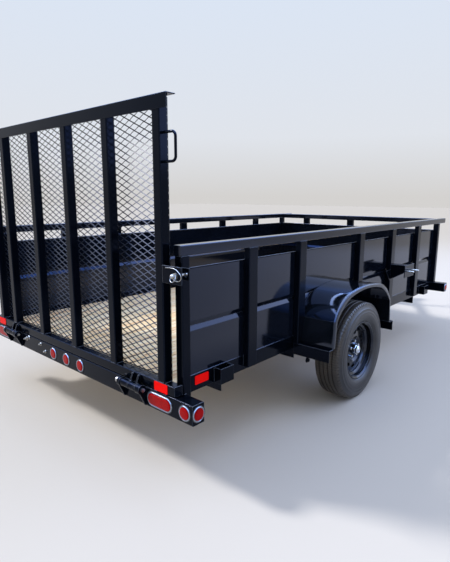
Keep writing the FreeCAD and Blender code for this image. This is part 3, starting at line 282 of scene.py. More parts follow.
def tyreRubber():
    # vulcanised carbon-black rubber: grey bloom on the wall, brown road dust out on the tread
    material, tree, shader, place = newMaterial("tyreRubber")
    low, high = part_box("tyre_right")
    middle = (low + high) / 2
    centred = addNode(tree, "VectorMath", {"operation": "SUBTRACT", 1: (middle.x, 0, middle.z)},
                      {0: place})
    flat = addNode(tree, "VectorMath", {"operation": "MULTIPLY", 1: (1, 0, 1)}, {0: centred.outputs[0]})
    reach = addNode(tree, "VectorMath", {"operation": "LENGTH"}, {0: flat.outputs[0]})
    outward = addNode(tree, "MapRange", {1: high.z / 2 - 0.03, 2: high.z / 2 - 0.012},
                      {"Value": reach.outputs["Value"]})
    dust = addNode(tree, "TexNoise", {"Scale": 9.0, "Detail": 6, "Roughness": 0.7}, {"Vector": place})
    bloom = {"stops": [(0.3, "#1c1d21"), (0.62, "#282a30"), (0.85, "#373942")]}
    wall = addNode(tree, "ValToRGB", bloom, {"Fac": dust.outputs["Fac"]})
    road = {"stops": [(0.3, "#302d2a"), (0.6, "#443e38"), (0.85, "#5a5146")]}
    tread = addNode(tree, "ValToRGB", road, {"Fac": dust.outputs["Fac"]})
    tone = addNode(tree, "MixRGB", {}, {
        "Fac": outward.outputs[0], "Color1": wall.outputs["Color"], "Color2": tread.outputs["Color"]})
    # sipes across the ribs, painted as dark lines: painted shade where the slits would be
    flatSpot = addNode(tree, "SeparateXYZ", {}, {0: centred.outputs[0]})
    turn = addNode(tree, "Math", {"operation": "ARCTAN2"},
                   {0: flatSpot.outputs["Z"], 1: flatSpot.outputs["X"]})
    count = addNode(tree, "Math", {"operation": "MULTIPLY", 1: sipeCount / (2 * math.pi)},
                    {0: turn.outputs[0]})
    part = addNode(tree, "Math", {"operation": "FRACT"}, {0: count.outputs[0]})
    sipeLine = addNode(tree, "MapRange", {1: 0.14, 2: 0.24, 3: 0.8, 4: 0.0}, {"Value": part.outputs[0]})
    sipeShade = addNode(tree, "Math", {"operation": "MULTIPLY"}, {0: sipeLine.outputs[0], 1: outward.outputs[0]})
    tone = addNode(tree, "MixRGB", {"Color2": linear("#0c0b0b")},
                   {"Fac": sipeShade.outputs[0], "Color1": tone.outputs[0]})
    grit = addNode(tree, "TexNoise", {"Scale": 1 / 0.002, "Detail": 2}, {"Vector": place})
    bump = addNode(tree, "Bump", {"Strength": 0.35, "Distance": 0.0005}, {"Height": grit.outputs["Fac"]})
    tree.links.new(tone.outputs[0], shader.inputs["Base Color"])
    tree.links.new(bump.outputs["Normal"], shader.inputs["Normal"])
    shader.inputs["Roughness"].default_value = 0.38
    shader.inputs["Specular IOR Level"].default_value = 0.5
    return material


def platedMetal(name, bright, dark, rough, streak):
    # a plated steel: pale metal whose crystals or polish marks break up its shine
    material, tree, shader, place = newMaterial(name)
    cloud = addNode(tree, "TexNoise", {"Scale": 1 / streak, "Detail": 4}, {"Vector": place})
    stops = {"stops": [(0.3, dark), (0.7, bright)]}
    tone = addNode(tree, "ValToRGB", stops, {"Fac": cloud.outputs["Fac"]})
    spread = addNode(tree, "MapRange", {3: rough * 0.8, 4: rough * 1.4}, {"Value": cloud.outputs["Fac"]})
    bump = addNode(tree, "Bump", {"Strength": 0.15, "Distance": 0.0002}, {"Height": cloud.outputs["Fac"]})
    tree.links.new(tone.outputs["Color"], shader.inputs["Base Color"])
    tree.links.new(spread.outputs["Result"], shader.inputs["Roughness"])
    tree.links.new(bump.outputs["Normal"], shader.inputs["Normal"])
    shader.inputs["Metallic"].default_value = 1.0
    return material


def hubFinish():
    # the hub's barrel has the wheel's black enamel, the dust cap pressed into its end is chromed
    material, tree, shader, place = newMaterial("hubEnamelAndChromeCap")
    low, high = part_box("hub_left")
    across = addNode(tree, "SeparateXYZ", {}, {0: place}).outputs["Y"]
    out = addNode(tree, "Math", {"operation": "ABSOLUTE"}, {0: across})
    cap = addNode(tree, "Math", {"operation": "GREATER_THAN", 1: high.y - capDeep}, {0: out.outputs[0]})
    dust = addNode(tree, "TexNoise", {"Scale": 1 / 0.03, "Detail": 4}, {"Vector": place})
    enamel = addNode(tree, "ValToRGB", {"stops": [(0.3, "#06070a"), (0.8, "#101217")]},
                     {"Fac": dust.outputs["Fac"]})
    tone = addNode(tree, "MixRGB", {"Color2": linear("#d6dae0")},
                   {"Fac": cap.outputs[0], "Color1": enamel.outputs["Color"]})
    spread = addNode(tree, "MapRange", {3: 0.1, 4: 0.2}, {"Value": dust.outputs["Fac"]})
    tree.links.new(tone.outputs[0], shader.inputs["Base Color"])
    tree.links.new(cap.outputs[0], shader.inputs["Metallic"])
    tree.links.new(spread.outputs[0], shader.inputs["Roughness"])
    return material


def lampLens():
    # injection moulded red acrylic: clear gloss outside, small prisms behind, their sparkle painted in as
    # light and shade
    material, tree, shader, place = newMaterial("redAcrylicLens")
    # moulded prisms, 6 mm apart
    prism = addNode(tree, "TexVoronoi", {"Scale": 1 / 0.006, "Randomness": 0.15}, {"Vector": place})
    # painted light and shade: each prism cell is bright red in its middle and darker towards its edge
    stops = {"stops": [(0.0, "#d00408"), (0.4, "#a80207"), (0.8, "#600005")]}
    tone = addNode(tree, "ValToRGB", stops, {"Fac": prism.outputs["Distance"]})
    bump = addNode(tree, "Bump", {"Strength": 0.25, "Distance": 0.0006, "invert": True},
                   {"Height": prism.outputs["Distance"]})
    tree.links.new(tone.outputs["Color"], shader.inputs["Base Color"])
    tree.links.new(bump.outputs["Normal"], shader.inputs["Normal"])
    shader.inputs["Roughness"].default_value = 0.2
    shader.inputs["IOR"].default_value = 1.49
    shader.inputs["Specular IOR Level"].default_value = 0.2
    shader.inputs["Specular Tint"].default_value = linear("#ff6a6a")
    return material


def reflectorTape():
    # prismatic reflective sheet behind clear plastic: even bright red with a fine honeycomb
    material, tree, shader, place = newMaterial("prismaticRedReflector")
    # cells are 4 mm wide
    cell = addNode(tree, "TexVoronoi", {
        "Scale": 1 / 0.004, "Randomness": 0.0, "feature": "DISTANCE_TO_EDGE"}, {"Vector": place})
    stops = {"stops": [(0.0, "#f20404"), (0.12, "#ff0804"), (1.0, "#ff0a06")]}
    tone = addNode(tree, "ValToRGB", stops, {"Fac": cell.outputs["Distance"]})
    tree.links.new(tone.outputs["Color"], shader.inputs["Base Color"])
    shader.inputs["Roughness"].default_value = 0.3
    shader.inputs["Specular IOR Level"].default_value = 0.05
    return material


def blackRubber():
    # moulded black rubber of the lamps' grommets and the crank's grip, a little dusty
    material, tree, shader, place = newMaterial("mouldedBlackRubber")
    bloom = addNode(tree, "TexNoise", {"Scale": 1 / 0.02, "Detail": 5}, {"Vector": place})
    stops = {"stops": [(0.3, "#101012"), (0.75, "#1d1d20")]}
    tone = addNode(tree, "ValToRGB", stops, {"Fac": bloom.outputs["Fac"]})
    bump = addNode(tree, "Bump", {"Strength": 0.2, "Distance": 0.0004}, {"Height": bloom.outputs["Fac"]})
    tree.links.new(tone.outputs["Color"], shader.inputs["Base Color"])
    tree.links.new(bump.outputs["Normal"], shader.inputs["Normal"])
    shader.inputs["Roughness"].default_value = 0.6
    return material


# deep and dusty colour, roughness and its spread, orange peel, gloss, the shine's tint, the edge radius that
# rounds the shading and carries a painted highlight
framePaint = powderCoat("blackPowderCoat", "#03060d", "#070c16", 0.09, 0.06, 0.12, 0.11, edge=0.006)
panelPaint = powderCoat("blackPowderCoatSheet", "#060a13", "#0c121e", 0.06, 0.06, 0.08, 0.44, "#c4d2ff",
                        0.005)
seamPaint = powderCoat("blackPowderCoatSeam", "#0c111b", "#151b27", 0.2, 0.08, 0.1, 0.9, "#dbe5ff")
fenderPaint = powderCoat("glossBlackFender", "#0a0f18", "#0f161f", 0.05, 0.04, 0.04, 0.6, "#cfdcff", 0.009)
meshPaint = powderCoat("blackPowderCoatMesh", "#0e1015", "#181b21", 0.3, 0.1, 0.1, 0.36, "#e4ebff")
springPaint = powderCoat("blackDippedSpringSteel", "#0e0e0e", "#1a1816", 0.45, 0.2, 0.3, 0.35)
rimEnamel = powderCoat("glossBlackWheelEnamel", "#050608", "#0a0c10", 0.1, 0.08, 0.06, 0.5, "#dbe4ff", 0.003)
planks = treatedPine()
rubber = tyreRubber()
grommetRubber = blackRubber()
chrome = platedMetal("chromePlate", "#dfe3e8", "#b9bfc6", 0.09, 0.03)
zinc = platedMetal("brightZincPlate", "#c4c1ba", "#8c8983", 0.3, 0.006)
steelRing = platedMetal("satinSteelRing", "#a9b1bf", "#7d8694", 0.3, 0.01)
hubTwoTone = hubFinish()
lensRed = lampLens()
tapeRed = reflectorTape()

finishes = {
    "frame": (framePaint, [
        "side_rail_left", "side_rail_right", "front_bar", "rear_sill", "crossmembers", "bumper",
        "side_posts_left", "side_posts_right", "front_uprights", "stake_pockets_left", "stake_pockets_right",
        "fender_supports", "spare_bracket", "tongue_left", "tongue_right", "coupler", "jack_plate",
        "hinge_ears", "latch_lugs", "gate_top_rail", "gate_sill", "gate_posts", "gate_sleeves",
        "gate_handles", "latch_plates"]),
    "sheet": (panelPaint, [
        "side_panel_left", "side_panel_right", "front_panel", "top_rail_left", "top_rail_right",
        "top_rail_front"]),
    "fender": (fenderPaint, ["fender_left", "fender_right"]),
    "mesh": (meshPaint, ["gate_mesh"]),
    "spring": (springPaint, ["axle", "leaf_springs", "spring_hangers", "axle_clamps"]),
    "rim": (rimEnamel, ["rim_left", "rim_right"]),
    "planks": (planks, ["deck_boards"]),
    "rubber": (rubber, ["tyre_left", "tyre_right"]),
    "chrome": (chrome, ["lug_nuts_left", "lug_nuts_right"]),
    "hub": (hubTwoTone, ["hub_left", "hub_right"]),
    "zinc": (zinc, [
        "hinge_pins", "latch_pins", "spare_studs", "coupler_latch", "jack_tube", "jack_crank", "jack_leg",
        "jack_foot"]),
    "ring": (steelRing, ["lamp_rings"]),
    "lens": (lensRed, ["lamp_lenses"]),
    "tape": (tapeRed, ["side_reflectors", "gate_reflectors"]),
}
for material, names in finishes.values():
    for name in names:
        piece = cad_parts[name]
        piece.data.materials.clear()
        piece.data.materials.append(material)
undressed = sorted(set(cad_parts) - {name for _, names in finishes.values() for name in names})
print("materials on all pieces, left out:", undressed)

# Softened edges on the rolled and folded steel, as the paint leaves them

edgeRadius = {"steel": 0.0014, "boards": 0.003}
softened = [
    "side_rail_left", "side_rail_right", "rear_sill", "crossmembers", "stake_pockets_left",
    "stake_pockets_right", "fender_supports", "spare_bracket", "tongue_left", "tongue_right",
    "gate_top_rail", "spring_hangers", "lug_nuts_left", "lug_nuts_right", "deck_boards",
]
for name in softened:
    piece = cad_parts[name]
    weld = piece.modifiers.new("seams", "WELD")
    weld.merge_threshold = 0.00002
    bevel = piece.modifiers.new("edges", "BEVEL")
    bevel.width = edgeRadius["boards" if name == "deck_boards" else "steel"]
    bevel.segments = 2
    bevel.limit_method = "ANGLE"
    bevel.angle_limit = math.radians(40)
    bevel.harden_normals = False
print("edges softened on", len(softened), "pieces")

# Shared steps for the pieces made here


def finishPiece(bm, name, body, material, replaces=(), sharp=35):
    bmesh.ops.remove_doubles(bm, verts=bm.verts, dist=0.00001)
    bmesh.ops.recalc_face_normals(bm, faces=bm.faces)
    for face in bm.faces:
        face.smooth = True
    for edge in bm.edges:
        if len(edge.link_faces) == 2 and edge.calc_face_angle() > math.radians(sharp):
            edge.smooth = False
    mesh = bpy.data.meshes.new(name)
    bm.to_mesh(mesh)
    bm.free()
    mesh.materials.append(material)
    piece = bpy.data.objects.new(name, mesh)
    bpy.context.scene.collection.objects.link(piece)
    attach(piece, body)
    if replaces:
        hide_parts(*replaces)
    print(name, "made,", sum(len(p.vertices) - 2 for p in mesh.polygons), "triangles")


def facing(direction):
    # turns local Z to this direction
    return Vector(direction).to_track_quat("Z", "Y").to_matrix().to_4x4()


# a bolt's parts as shares of its width across the flats
boltShape = {
    "washer": 1.7, "washerThick": 0.12, "corner": 0.577, "faceInset": 0.09, "faceStep": 0.05,
    "thread": 0.3, "threadTip": 0.26,
}


def addBolt(bm, spot, direction, wide, tall, long=0.0):
    # a hexagon head on its washer, with its thread's end out past it where it is a nut
    place = Matrix.Translation(spot) @ facing(direction)
    thin = wide * boltShape["washerThick"]
    washer = wide * boltShape["washer"] / 2
    corner = wide * boltShape["corner"]
    bmesh.ops.create_cone(bm, cap_ends=True, segments=20, radius1=washer, radius2=washer - thin / 2,
                          depth=thin, matrix=place @ Matrix.Translation((0, 0, thin / 2)))
    head = bmesh.ops.create_cone(bm, cap_ends=True, segments=6, radius1=corner, radius2=corner,
                                 depth=tall, matrix=place @ Matrix.Translation((0, 0, thin + tall / 2)))
    away = (place.to_3x3() @ Vector((0, 0, 1))).normalized()
    faces = {face for vert in head["verts"] for face in vert.link_faces}
    top = max(faces, key=lambda face: face.calc_center_median().dot(away))
    bmesh.ops.inset_region(bm, faces=[top], thickness=wide * boltShape["faceInset"],
                           depth=wide * boltShape["faceStep"])
    if long:
        bmesh.ops.create_cone(bm, cap_ends=True, segments=12, radius1=wide * boltShape["thread"],
                              radius2=wide * boltShape["threadTip"], depth=long,
                              matrix=place @ Matrix.Translation((0, 0, thin + tall + long / 2)))


def addWeld(bm, start, end, size):
    # a weld bead laid from start to end, its ripples as far apart as the bead is wide
    start, end = Vector(start), Vector(end)
    run = end - start
    bead = bmesh.new()
    bmesh.ops.create_cone(bead, cap_ends=True, segments=6, radius1=size, radius2=size, depth=run.length)
    flanks = [edge for edge in bead.edges if abs(edge.verts[0].co.z - edge.verts[1].co.z) > run.length / 2]
    cuts = 2 * max(1, round(run.length / size / 2)) - 1
    bmesh.ops.subdivide_edges(bead, edges=flanks, cuts=cuts, use_grid_fill=True)
    for vert in bead.verts:
        step = round((vert.co.z / run.length + 0.5) * (cuts + 1))
        swell = 1.0 if step % 2 else 0.78
        vert.co.x *= swell
        vert.co.y *= swell
    bmesh.ops.transform(bead, matrix=Matrix.Translation((start + end) / 2) @ facing(run), verts=bead.verts)
    mesh = bpy.data.meshes.new("bead")
    bead.to_mesh(mesh)
    bead.free()
    bm.from_mesh(mesh)
    bpy.data.meshes.remove(mesh)


def addPlateBar(bm, low, high, edge):
    # a bar between two corners with softened edges
    low, high = Vector(low), Vector(high)
    size = high - low
    place = Matrix.Translation((low + high) / 2) @ Matrix.Diagonal((size.x, size.y, size.z, 1))
    made = bmesh.ops.create_cube(bm, size=1.0, matrix=place)
    edges = list({e for vert in made["verts"] for e in vert.link_edges})
    bmesh.ops.bevel(bm, geom=edges, offset=edge, segments=3, profile=0.5, affect="EDGES", material=-1)


def addRing(bm, place, profile, straight=0.0, segments=42, cap=False):
    # rings of (radius, height) joined in turn; the two halves stand straight apart in local X
    loops = []
    turn = Matrix.Rotation(math.pi / segments, 4, "Z")
    for radius, height in profile:
        made = bmesh.ops.create_circle(bm, segments=segments, radius=radius,
                                       matrix=Matrix.Translation((0, 0, height)) @ turn)
        for vert in made["verts"]:
            vert.co.x += math.copysign(straight, vert.co.x)
        edges = {edge for vert in made["verts"] for edge in vert.link_edges}
        loops.append((list(edges), made["verts"]))
    pairs = list(zip(loops, loops[1:]))
    if not cap:
        pairs.append((loops[-1], loops[0]))
    for (before, _), (after, _) in pairs:
        bmesh.ops.bridge_loops(bm, edges=before + after)
    if cap:
        for edges in (loops[0][0], loops[-1][0]):
            bmesh.ops.contextual_create(bm, geom=edges)
    verts = [vert for _, ring in loops for vert in ring]
    bmesh.ops.transform(bm, matrix=place, verts=verts)


def roundBead(radius, thick):
    # the profile of a round ring for addRing
    turns = [2 * math.pi * k / 8 for k in range(8)]
    return [(radius + thick * math.cos(turn), thick * math.sin(turn)) for turn in turns]


def bentWire(name, points, thick, body, material):
    # a round wire along a smooth line through its points' hull
    curve = bpy.data.curves.new(name, "CURVE")
    curve.dimensions = "3D"
    curve.bevel_depth = thick / 2
    curve.bevel_resolution = 3
    curve.resolution_u = 8
    curve.use_fill_caps = True
    line = curve.splines.new("NURBS")
    line.points.add(len(points) - 1)
    for point, spot in zip(line.points, points):
        point.co = (*spot, 1.0)
    line.order_u = 3
    line.use_endpoint_u = True
    curve.materials.append(material)
    piece = bpy.data.objects.new(name, curve)
    bpy.context.scene.collection.objects.link(piece)
    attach(piece, body)


sides = {"left": 1, "right": -1}

# Gate mesh: expanded steel, its strands twisted out of the sheet

gateMesh = {
    "wide": 0.0762, "tall": 0.0339, "strand": 0.0042, "thick": 0.0018, "lean": 0.0034, "inFront": 0.0045,
}


def makeGateMesh():
    low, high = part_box("gate_mesh")
    wide, tall = gateMesh["wide"], gateMesh["tall"]
    across, up = high.y - low.y, high.z - low.z
    count = math.ceil(max(across / wide, up / tall)) + 2
    bm = bmesh.new()
    bmesh.ops.create_grid(bm, x_segments=2 * count, y_segments=2 * count, size=count * 0.5)
    # the grid stands on its corner, then is stretched so that each square is a diamond
    bmesh.ops.rotate(bm, verts=bm.verts, matrix=Matrix.Rotation(math.radians(45), 3, "Z"))
    grow = math.sqrt(2)
    bmesh.ops.scale(bm, verts=bm.verts, vec=(wide * grow, tall * grow, 1))
    bmesh.ops.rotate(bm, verts=bm.verts, matrix=Matrix(((0, 0, 1), (1, 0, 0), (0, 1, 0))))
    middle = (low + high) / 2
    bmesh.ops.translate(bm, verts=bm.verts, vec=(low.x + gateMesh["inFront"], middle.y, middle.z))
    for normal, spot in (((0, 1, 0), high), ((0, -1, 0), low), ((0, 0, 1), high), ((0, 0, -1), low)):
        everything = bm.verts[:] + bm.edges[:] + bm.faces[:]
        bmesh.ops.bisect_plane(bm, geom=everything, plane_co=spot, plane_no=normal, clear_outer=True)
    holes = bm.faces[:]
    bmesh.ops.inset_individual(bm, faces=holes, thickness=gateMesh["strand"] / 2, use_even_offset=True)
    for hole in holes:
        centre = hole.calc_center_median()
        for vert in hole.verts:
            vert.co.x += gateMesh["lean"] * max(-1, min(1, (centre.z - vert.co.z) / (tall / 2)))
    bmesh.ops.delete(bm, geom=holes, context="FACES")
    bmesh.ops.solidify(bm, geom=bm.faces[:], thickness=gateMesh["thick"])
    finishPiece(bm, "expandedMesh", "gate", meshPaint, ["gate_mesh"])


makeGateMesh()

# Tyres: ribs and grooves round the tread, notched shoulders, rings on the sidewall

tyre = {
    "steps": 240, "grooveDeep": 0.008, "grooveWide": 0.009, "ribs": 5, "seat": 0.1905, "bead": 0.074,
    "shoulder": 0.024, "crown": 0.0035, "notchDeep": 0.004, "notchLean": 0.6, "notchEvery": 3,
    "notchFrom": 0.030, "notchTo": 0.004,
}


def makeTyre(side):
    low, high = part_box("tyre_" + side)
    centre = (low + high) / 2
    outer = (high.z - low.z) / 2
    half = (high.y - low.y) / 2
    seat, bead = tyre["seat"], tyre["bead"]
    treadHalf = half - tyre["shoulder"]
    # across the tyre and out from its middle, from one bead to the other
    wall = [
        (-bead, seat), (-bead - 0.004, seat + 0.013), (-bead - 0.009, seat + 0.016),
        (-bead - 0.016, seat + 0.024), (-bead - 0.0165, seat + 0.027), (-bead - 0.0195, seat + 0.030),
        (-half + 0.004, seat + 0.045), (-half + 0.0005, seat + 0.060), (-half + 0.0002, seat + 0.068),
        (-half + 0.002, seat + 0.080), (-half + 0.0015, seat + 0.0825), (-half + 0.003, seat + 0.085),
        (-half + 0.006, seat + 0.100), (-half + 0.005, seat + 0.104), (-half + 0.008, seat + 0.107),
        (-half + 0.013, outer - 0.022), (-half + 0.017, outer - 0.013), (-half + 0.021, outer - 0.006),
        (-treadHalf, outer - tyre["crown"]),
    ]
    ribPitch = 2 * treadHalf / tyre["ribs"]
    tread = []
    for rib in range(1, tyre["ribs"]):
        y = -treadHalf + rib * ribPitch
        gap, deep = tyre["grooveWide"] / 2, tyre["grooveDeep"]
        top = outer - tyre["crown"] * (y / treadHalf) ** 2
        tread += [
            (y - gap - 0.001, top), (y - gap, top - 0.001), (y - gap * 0.7, top - deep),
            (y + gap * 0.7, top - deep), (y + gap, top - 0.001), (y + gap + 0.001, top),
        ]
    section = wall + tread + [(-y, z) for y, z in reversed(wall)]
    bm = bmesh.new()
    ring = [bm.verts.new((0, y, z)) for y, z in section]
    edges = [bm.edges.new(pair) for pair in zip(ring, ring[1:] + ring[:1])]
    bmesh.ops.spin(bm, geom=ring + edges, cent=(0, 0, 0), axis=(0, 1, 0), angle=2 * math.pi,
                   steps=tyre["steps"], use_merge=True)
    bmesh.ops.remove_doubles(bm, verts=bm.verts, dist=0.00001)
    bmesh.ops.recalc_face_normals(bm, faces=bm.faces)
    # the shoulders are cut by short notches
    notches = []
    lowest, highest = outer - tyre["notchFrom"], outer - tyre["notchTo"]
    for face in bm.faces:
        spot = face.calc_center_median()
        reach = math.hypot(spot.x, spot.z)
        turn = round(math.degrees(math.atan2(spot.z, spot.x)) / (360 / tyre["steps"]) - 0.5)
        shoulder = lowest < reach < highest and treadHalf < abs(spot.y) < half - tyre["notchTo"]
        if shoulder and turn % tyre["notchEvery"] == 0:
            notches.append(face)
    made = bmesh.ops.extrude_face_region(bm, geom=notches)
    sunk = {item for item in made["geom"] if isinstance(item, bmesh.types.BMVert)}
    bmesh.ops.delete(bm, geom=notches, context="FACES")
    inwards = tyre["notchDeep"] * tyre["notchLean"]
    for vert in sunk:
        reach = math.hypot(vert.co.x, vert.co.z)
        vert.co.y -= math.copysign(inwards, vert.co.y)
        vert.co.x -= vert.co.x / reach * inwards
        vert.co.z -= vert.co.z / reach * inwards
    bmesh.ops.translate(bm, verts=bm.verts, vec=centre)
    name = "tyreBody" + side.capitalize()
    finishPiece(bm, name, "wheel_" + side, rubber, ["tyre_" + side], sharp=40)


for side in sides:
    makeTyre(side)

# Lamps: rubber grommet, bright ring and domed lens, each at its place on the tube

# each profile as radius and height
lamp = {
    "grommet": [(0.0425, 0.0), (0.0422, 0.0022), (0.0402, 0.0030), (0.0383, 0.0022), (0.0381, 0.0)],
    "ring": [
        (0.038, 0.0), (0.038, 0.0016), (0.0369, 0.0040), (0.0345, 0.0050), (0.0322, 0.0046),
        (0.0306, 0.0030), (0.0304, 0.0),
    ],
    "lens": [
        (0.0298, 0.0), (0.0298, 0.0048), (0.0290, 0.0064), (0.0262, 0.0073), (0.018, 0.0078),
        (0.008, 0.0079),
    ],
    "idPitch": 0.160, "ovalInset": 0.2335, "markerInset": 0.053, "ovalStraight": 0.054,
}


def makeVehicleLamps():
    low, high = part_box("bumper")
    frontLow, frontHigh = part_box("front_bar")
    middle = (low + high) / 2
    frontMiddle = (frontLow + frontHigh) / 2
    # spot, direction that it faces, half of the straight stretch
    places = [((low.x, i * lamp["idPitch"], middle.z), (-1, 0, 0), 0.0) for i in (-1, 0, 1)]
    for sign in sides.values():
        end = sign * high.y
        places += [
            ((low.x, sign * (high.y - lamp["ovalInset"]), middle.z), (-1, 0, 0), lamp["ovalStraight"]),
            ((low.x, sign * (high.y - lamp["markerInset"]), middle.z), (-1, 0, 0), 0.0),
            ((middle.x, end, middle.z), (0, sign, 0), 0.0),
            ((frontMiddle.x, sign * frontHigh.y, frontMiddle.z), (0, sign, 0), 0.0),
        ]
    for name, part, material, replaced, slot in (
            ("lampGrommets", "grommet", grommetRubber, [], "tyre_rubber"),
            ("lampBezels", "ring", steelRing, ["lamp_rings"], "lamp_bezel"),
            ("lampDomes", "lens", lensRed, ["lamp_lenses"], "lamp_red")):
        bm = bmesh.new()
        for spot, away, straight in places:
            out = Vector(away)
            across = Vector((0, 0, 1)).cross(out)
            place = Matrix((across, Vector((0, 0, 1)), out)).transposed().to_4x4()
            place.translation = spot
            addRing(bm, place, lamp[part], straight, cap=part == "lens")
        finishPiece(bm, name, "chassis", material, replaced, sharp=50)


makeVehicleLamps()

# Reflectors: moulded pads with round corners

reflector = {"corner": 0.006, "long": 0.098, "thick": 0.003}


def makeReflectors(name, node, body, out):
    # out is the axis that the pads face along
    bm = bmesh.new()
    low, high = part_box(node)
    thick = high.x - low.x if out == 0 else reflector["thick"]
    long = reflector["long"]
    for sign in sides.values():
        if out == 0:
            start = high.y - long if sign > 0 else low.y
            corners = ((low.x, start, low.z), (high.x, start + long, high.z))
        else:
            y = high.y - thick if sign > 0 else low.y
            corners = ((low.x, y, low.z), (high.x, y + thick, high.z))
        first, second = Vector(corners[0]), Vector(corners[1])
        size = second - first
        place = Matrix.Translation((first + second) / 2) @ Matrix.Diagonal((size.x, size.y, size.z, 1))
        made = bmesh.ops.create_cube(bm, size=1.0, matrix=place)
        edges = {e for vert in made["verts"] for e in vert.link_edges}
        through = [e for e in edges if abs(e.verts[0].co[out] - e.verts[1].co[out]) > thick / 2]
        bmesh.ops.bevel(bm, geom=through, offset=reflector["corner"], segments=4, profile=0.5,
                        affect="EDGES", material=-1)
    finishPiece(bm, name, body, tapeRed, [node])


makeReflectors("gateReflectorPads", "gate_reflectors", "gate", 0)
makeReflectors("sideReflectorPads", "side_reflectors", "chassis", 1)

# Welds, seams and hems on the frame

uprightMiddles = (0.534, 1.0365, 1.861, 2.4665, 3.0757)  # ahead of the rear post's rear face
frameWork = {
    "bead": 0.0032, "seam": 0.0026, "hem": 0.0065, "hemTall": 0.009, "hemRound": 0.0028, "hemInset": 0.0037,
    "uprightWide": 0.0762, "uprightDeep": 0.0381, "footFrom": 0.452, "footTo": 0.512, "endGap": 0.006,
    "tube": 0.0508, "pocketLong": 0.104, "pocketInset": 0.254, "pocketFrom": 0.004, "pocketTo": 0.080,
}


def makeFrameWelds():
    bm = bmesh.new()
    wide, deep, bead, tube = (frameWork[key] for key in ("uprightWide", "uprightDeep", "bead", "tube"))
    gap = frameWork["endGap"]
    inset, long = frameWork["pocketInset"], frameWork["pocketLong"]
    bumperLow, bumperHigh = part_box("bumper")
    foot = bumperHigh.z + 0.001
    for side, sign in sides.items():
        railLow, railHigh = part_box("side_rail_" + side)
        topLow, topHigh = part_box("top_rail_" + side)
        postLow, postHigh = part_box("side_posts_" + side)
        face = railHigh.y if sign > 0 else railLow.y
        outer = postHigh.y if sign > 0 else postLow.y
        rear = postLow.x
        proud = face + sign * 0.001
        skin, under, tip = outer - sign * 0.001, topLow.z - 0.001, topLow.z - 0.0005
        near, far = outer - sign * 0.003, outer - sign * (deep - 0.004)
        for middle in uprightMiddles:
            for edge in (-wide / 2, wide / 2):
                x = rear + middle + edge
                # up the rail's face, at all but the second and third, and under the top rail
                if middle not in uprightMiddles[1:3]:
                    addWeld(bm, (x, proud, frameWork["footFrom"]), (x, proud, frameWork["footTo"]), bead)
                addWeld(bm, (x, near, under), (x, far, under), bead)
            x = rear + middle
            addWeld(bm, (x - wide / 2 + gap, skin, tip), (x + wide / 2 - gap, skin, tip), bead)
        # posts into the top rail and onto the bumper
        addWeld(bm, (rear + gap, skin, tip), (rear + tube - gap, skin, tip), bead)
        back = rear - 0.001
        addWeld(bm, (back, outer - sign * 0.005, foot), (back, outer - sign * (tube - 0.005), foot), bead)
        flank = outer + sign * 0.0005
        addWeld(bm, (rear + 0.003, flank, foot), (bumperHigh.x, flank, foot), bead)
        # stake pockets on the rail
        bottom, top = railLow.z + frameWork["pocketFrom"], railLow.z + frameWork["pocketTo"]
        for start in (rear + inset, railHigh.x - inset - long + tube):
            for x in (start, start + long):
                addWeld(bm, (x, proud, bottom), (x, proud, top), bead)
    finishPiece(bm, "frameWelds", "chassis", framePaint, sharp=70)


def makeSeams():
    # where the sheet meets the rail, between the uprights, and the sheet's folded top edge
    bm = bmesh.new()
    wide, tall, soft = frameWork["uprightWide"], frameWork["hemTall"], frameWork["hemRound"]
    for side, sign in sides.items():
        panelLow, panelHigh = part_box("side_panel_" + side)
        railLow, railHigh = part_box("side_rail_" + side)
        fenderLow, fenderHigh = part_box("fender_" + side)
        postLow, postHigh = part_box("side_posts_" + side)
        face = panelHigh.y if sign > 0 else panelLow.y
        stops = [panelLow.x]
        for middle in uprightMiddles:
            x = postLow.x + middle
            stops += [x - wide / 2, x + wide / 2]
        stops.append(panelHigh.x)
        for start, end in zip(stops[::2], stops[1::2]):
            for a, b in ((start, min(end, fenderLow.x)), (max(start, fenderHigh.x), end)):
                if b - a > 0.02:
                    addWeld(bm, (a + 0.004, face, railHigh.z), (b - 0.004, face, railHigh.z),
                            frameWork["seam"])
        inner = face - sign * frameWork["hem"]
        low, high = min(face, inner), max(face, inner)
        addPlateBar(bm, (panelLow.x, low, panelHigh.z - tall), (panelHigh.x, high, panelHigh.z), soft)
    panelLow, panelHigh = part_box("front_panel")
    front = panelHigh.x - frameWork["hemInset"]
    addPlateBar(bm, (front - frameWork["hem"], panelLow.y, panelHigh.z - tall),
                (front, panelHigh.y, panelHigh.z), soft)
    finishPiece(bm, "panelSeams", "chassis", seamPaint, sharp=60)


makeFrameWelds()
makeSeams()

# Gate welds: post feet on the sill and post heads under the rail

gateWork = {"posts": 6, "pitch": 0.400, "bead": 0.0034, "tube": 0.0508, "endGap": 0.006}


def makeGateWelds():
    bm = bmesh.new()
    sillLow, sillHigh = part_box("gate_sill")
    postLow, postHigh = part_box("gate_posts")
    tube, bead, gap = gateWork["tube"], gateWork["bead"], gateWork["endGap"]
    starts = [postLow.y + i * gateWork["pitch"] for i in range(gateWork["posts"] - 1)]
    starts.append(postHigh.y - tube)
    for start in starts:
        for z, lift in ((sillHigh.z, 0.0008), (postHigh.z, -0.0008)):
            for y in (start - 0.0006, start + tube + 0.0006):
                addWeld(bm, (postLow.x + gap, y, z + lift), (postHigh.x - gap, y, z + lift), bead)
        x, z = postLow.x + 0.0004, sillHigh.z - 0.0004
        addWeld(bm, (x, start + gap, z), (x, start + tube - gap, z), bead)
    finishPiece(bm, "gateWelds", "gate", framePaint, sharp=70)


makeGateWelds()

# Bolts: number plate, hinges, the jack's plate and the springs

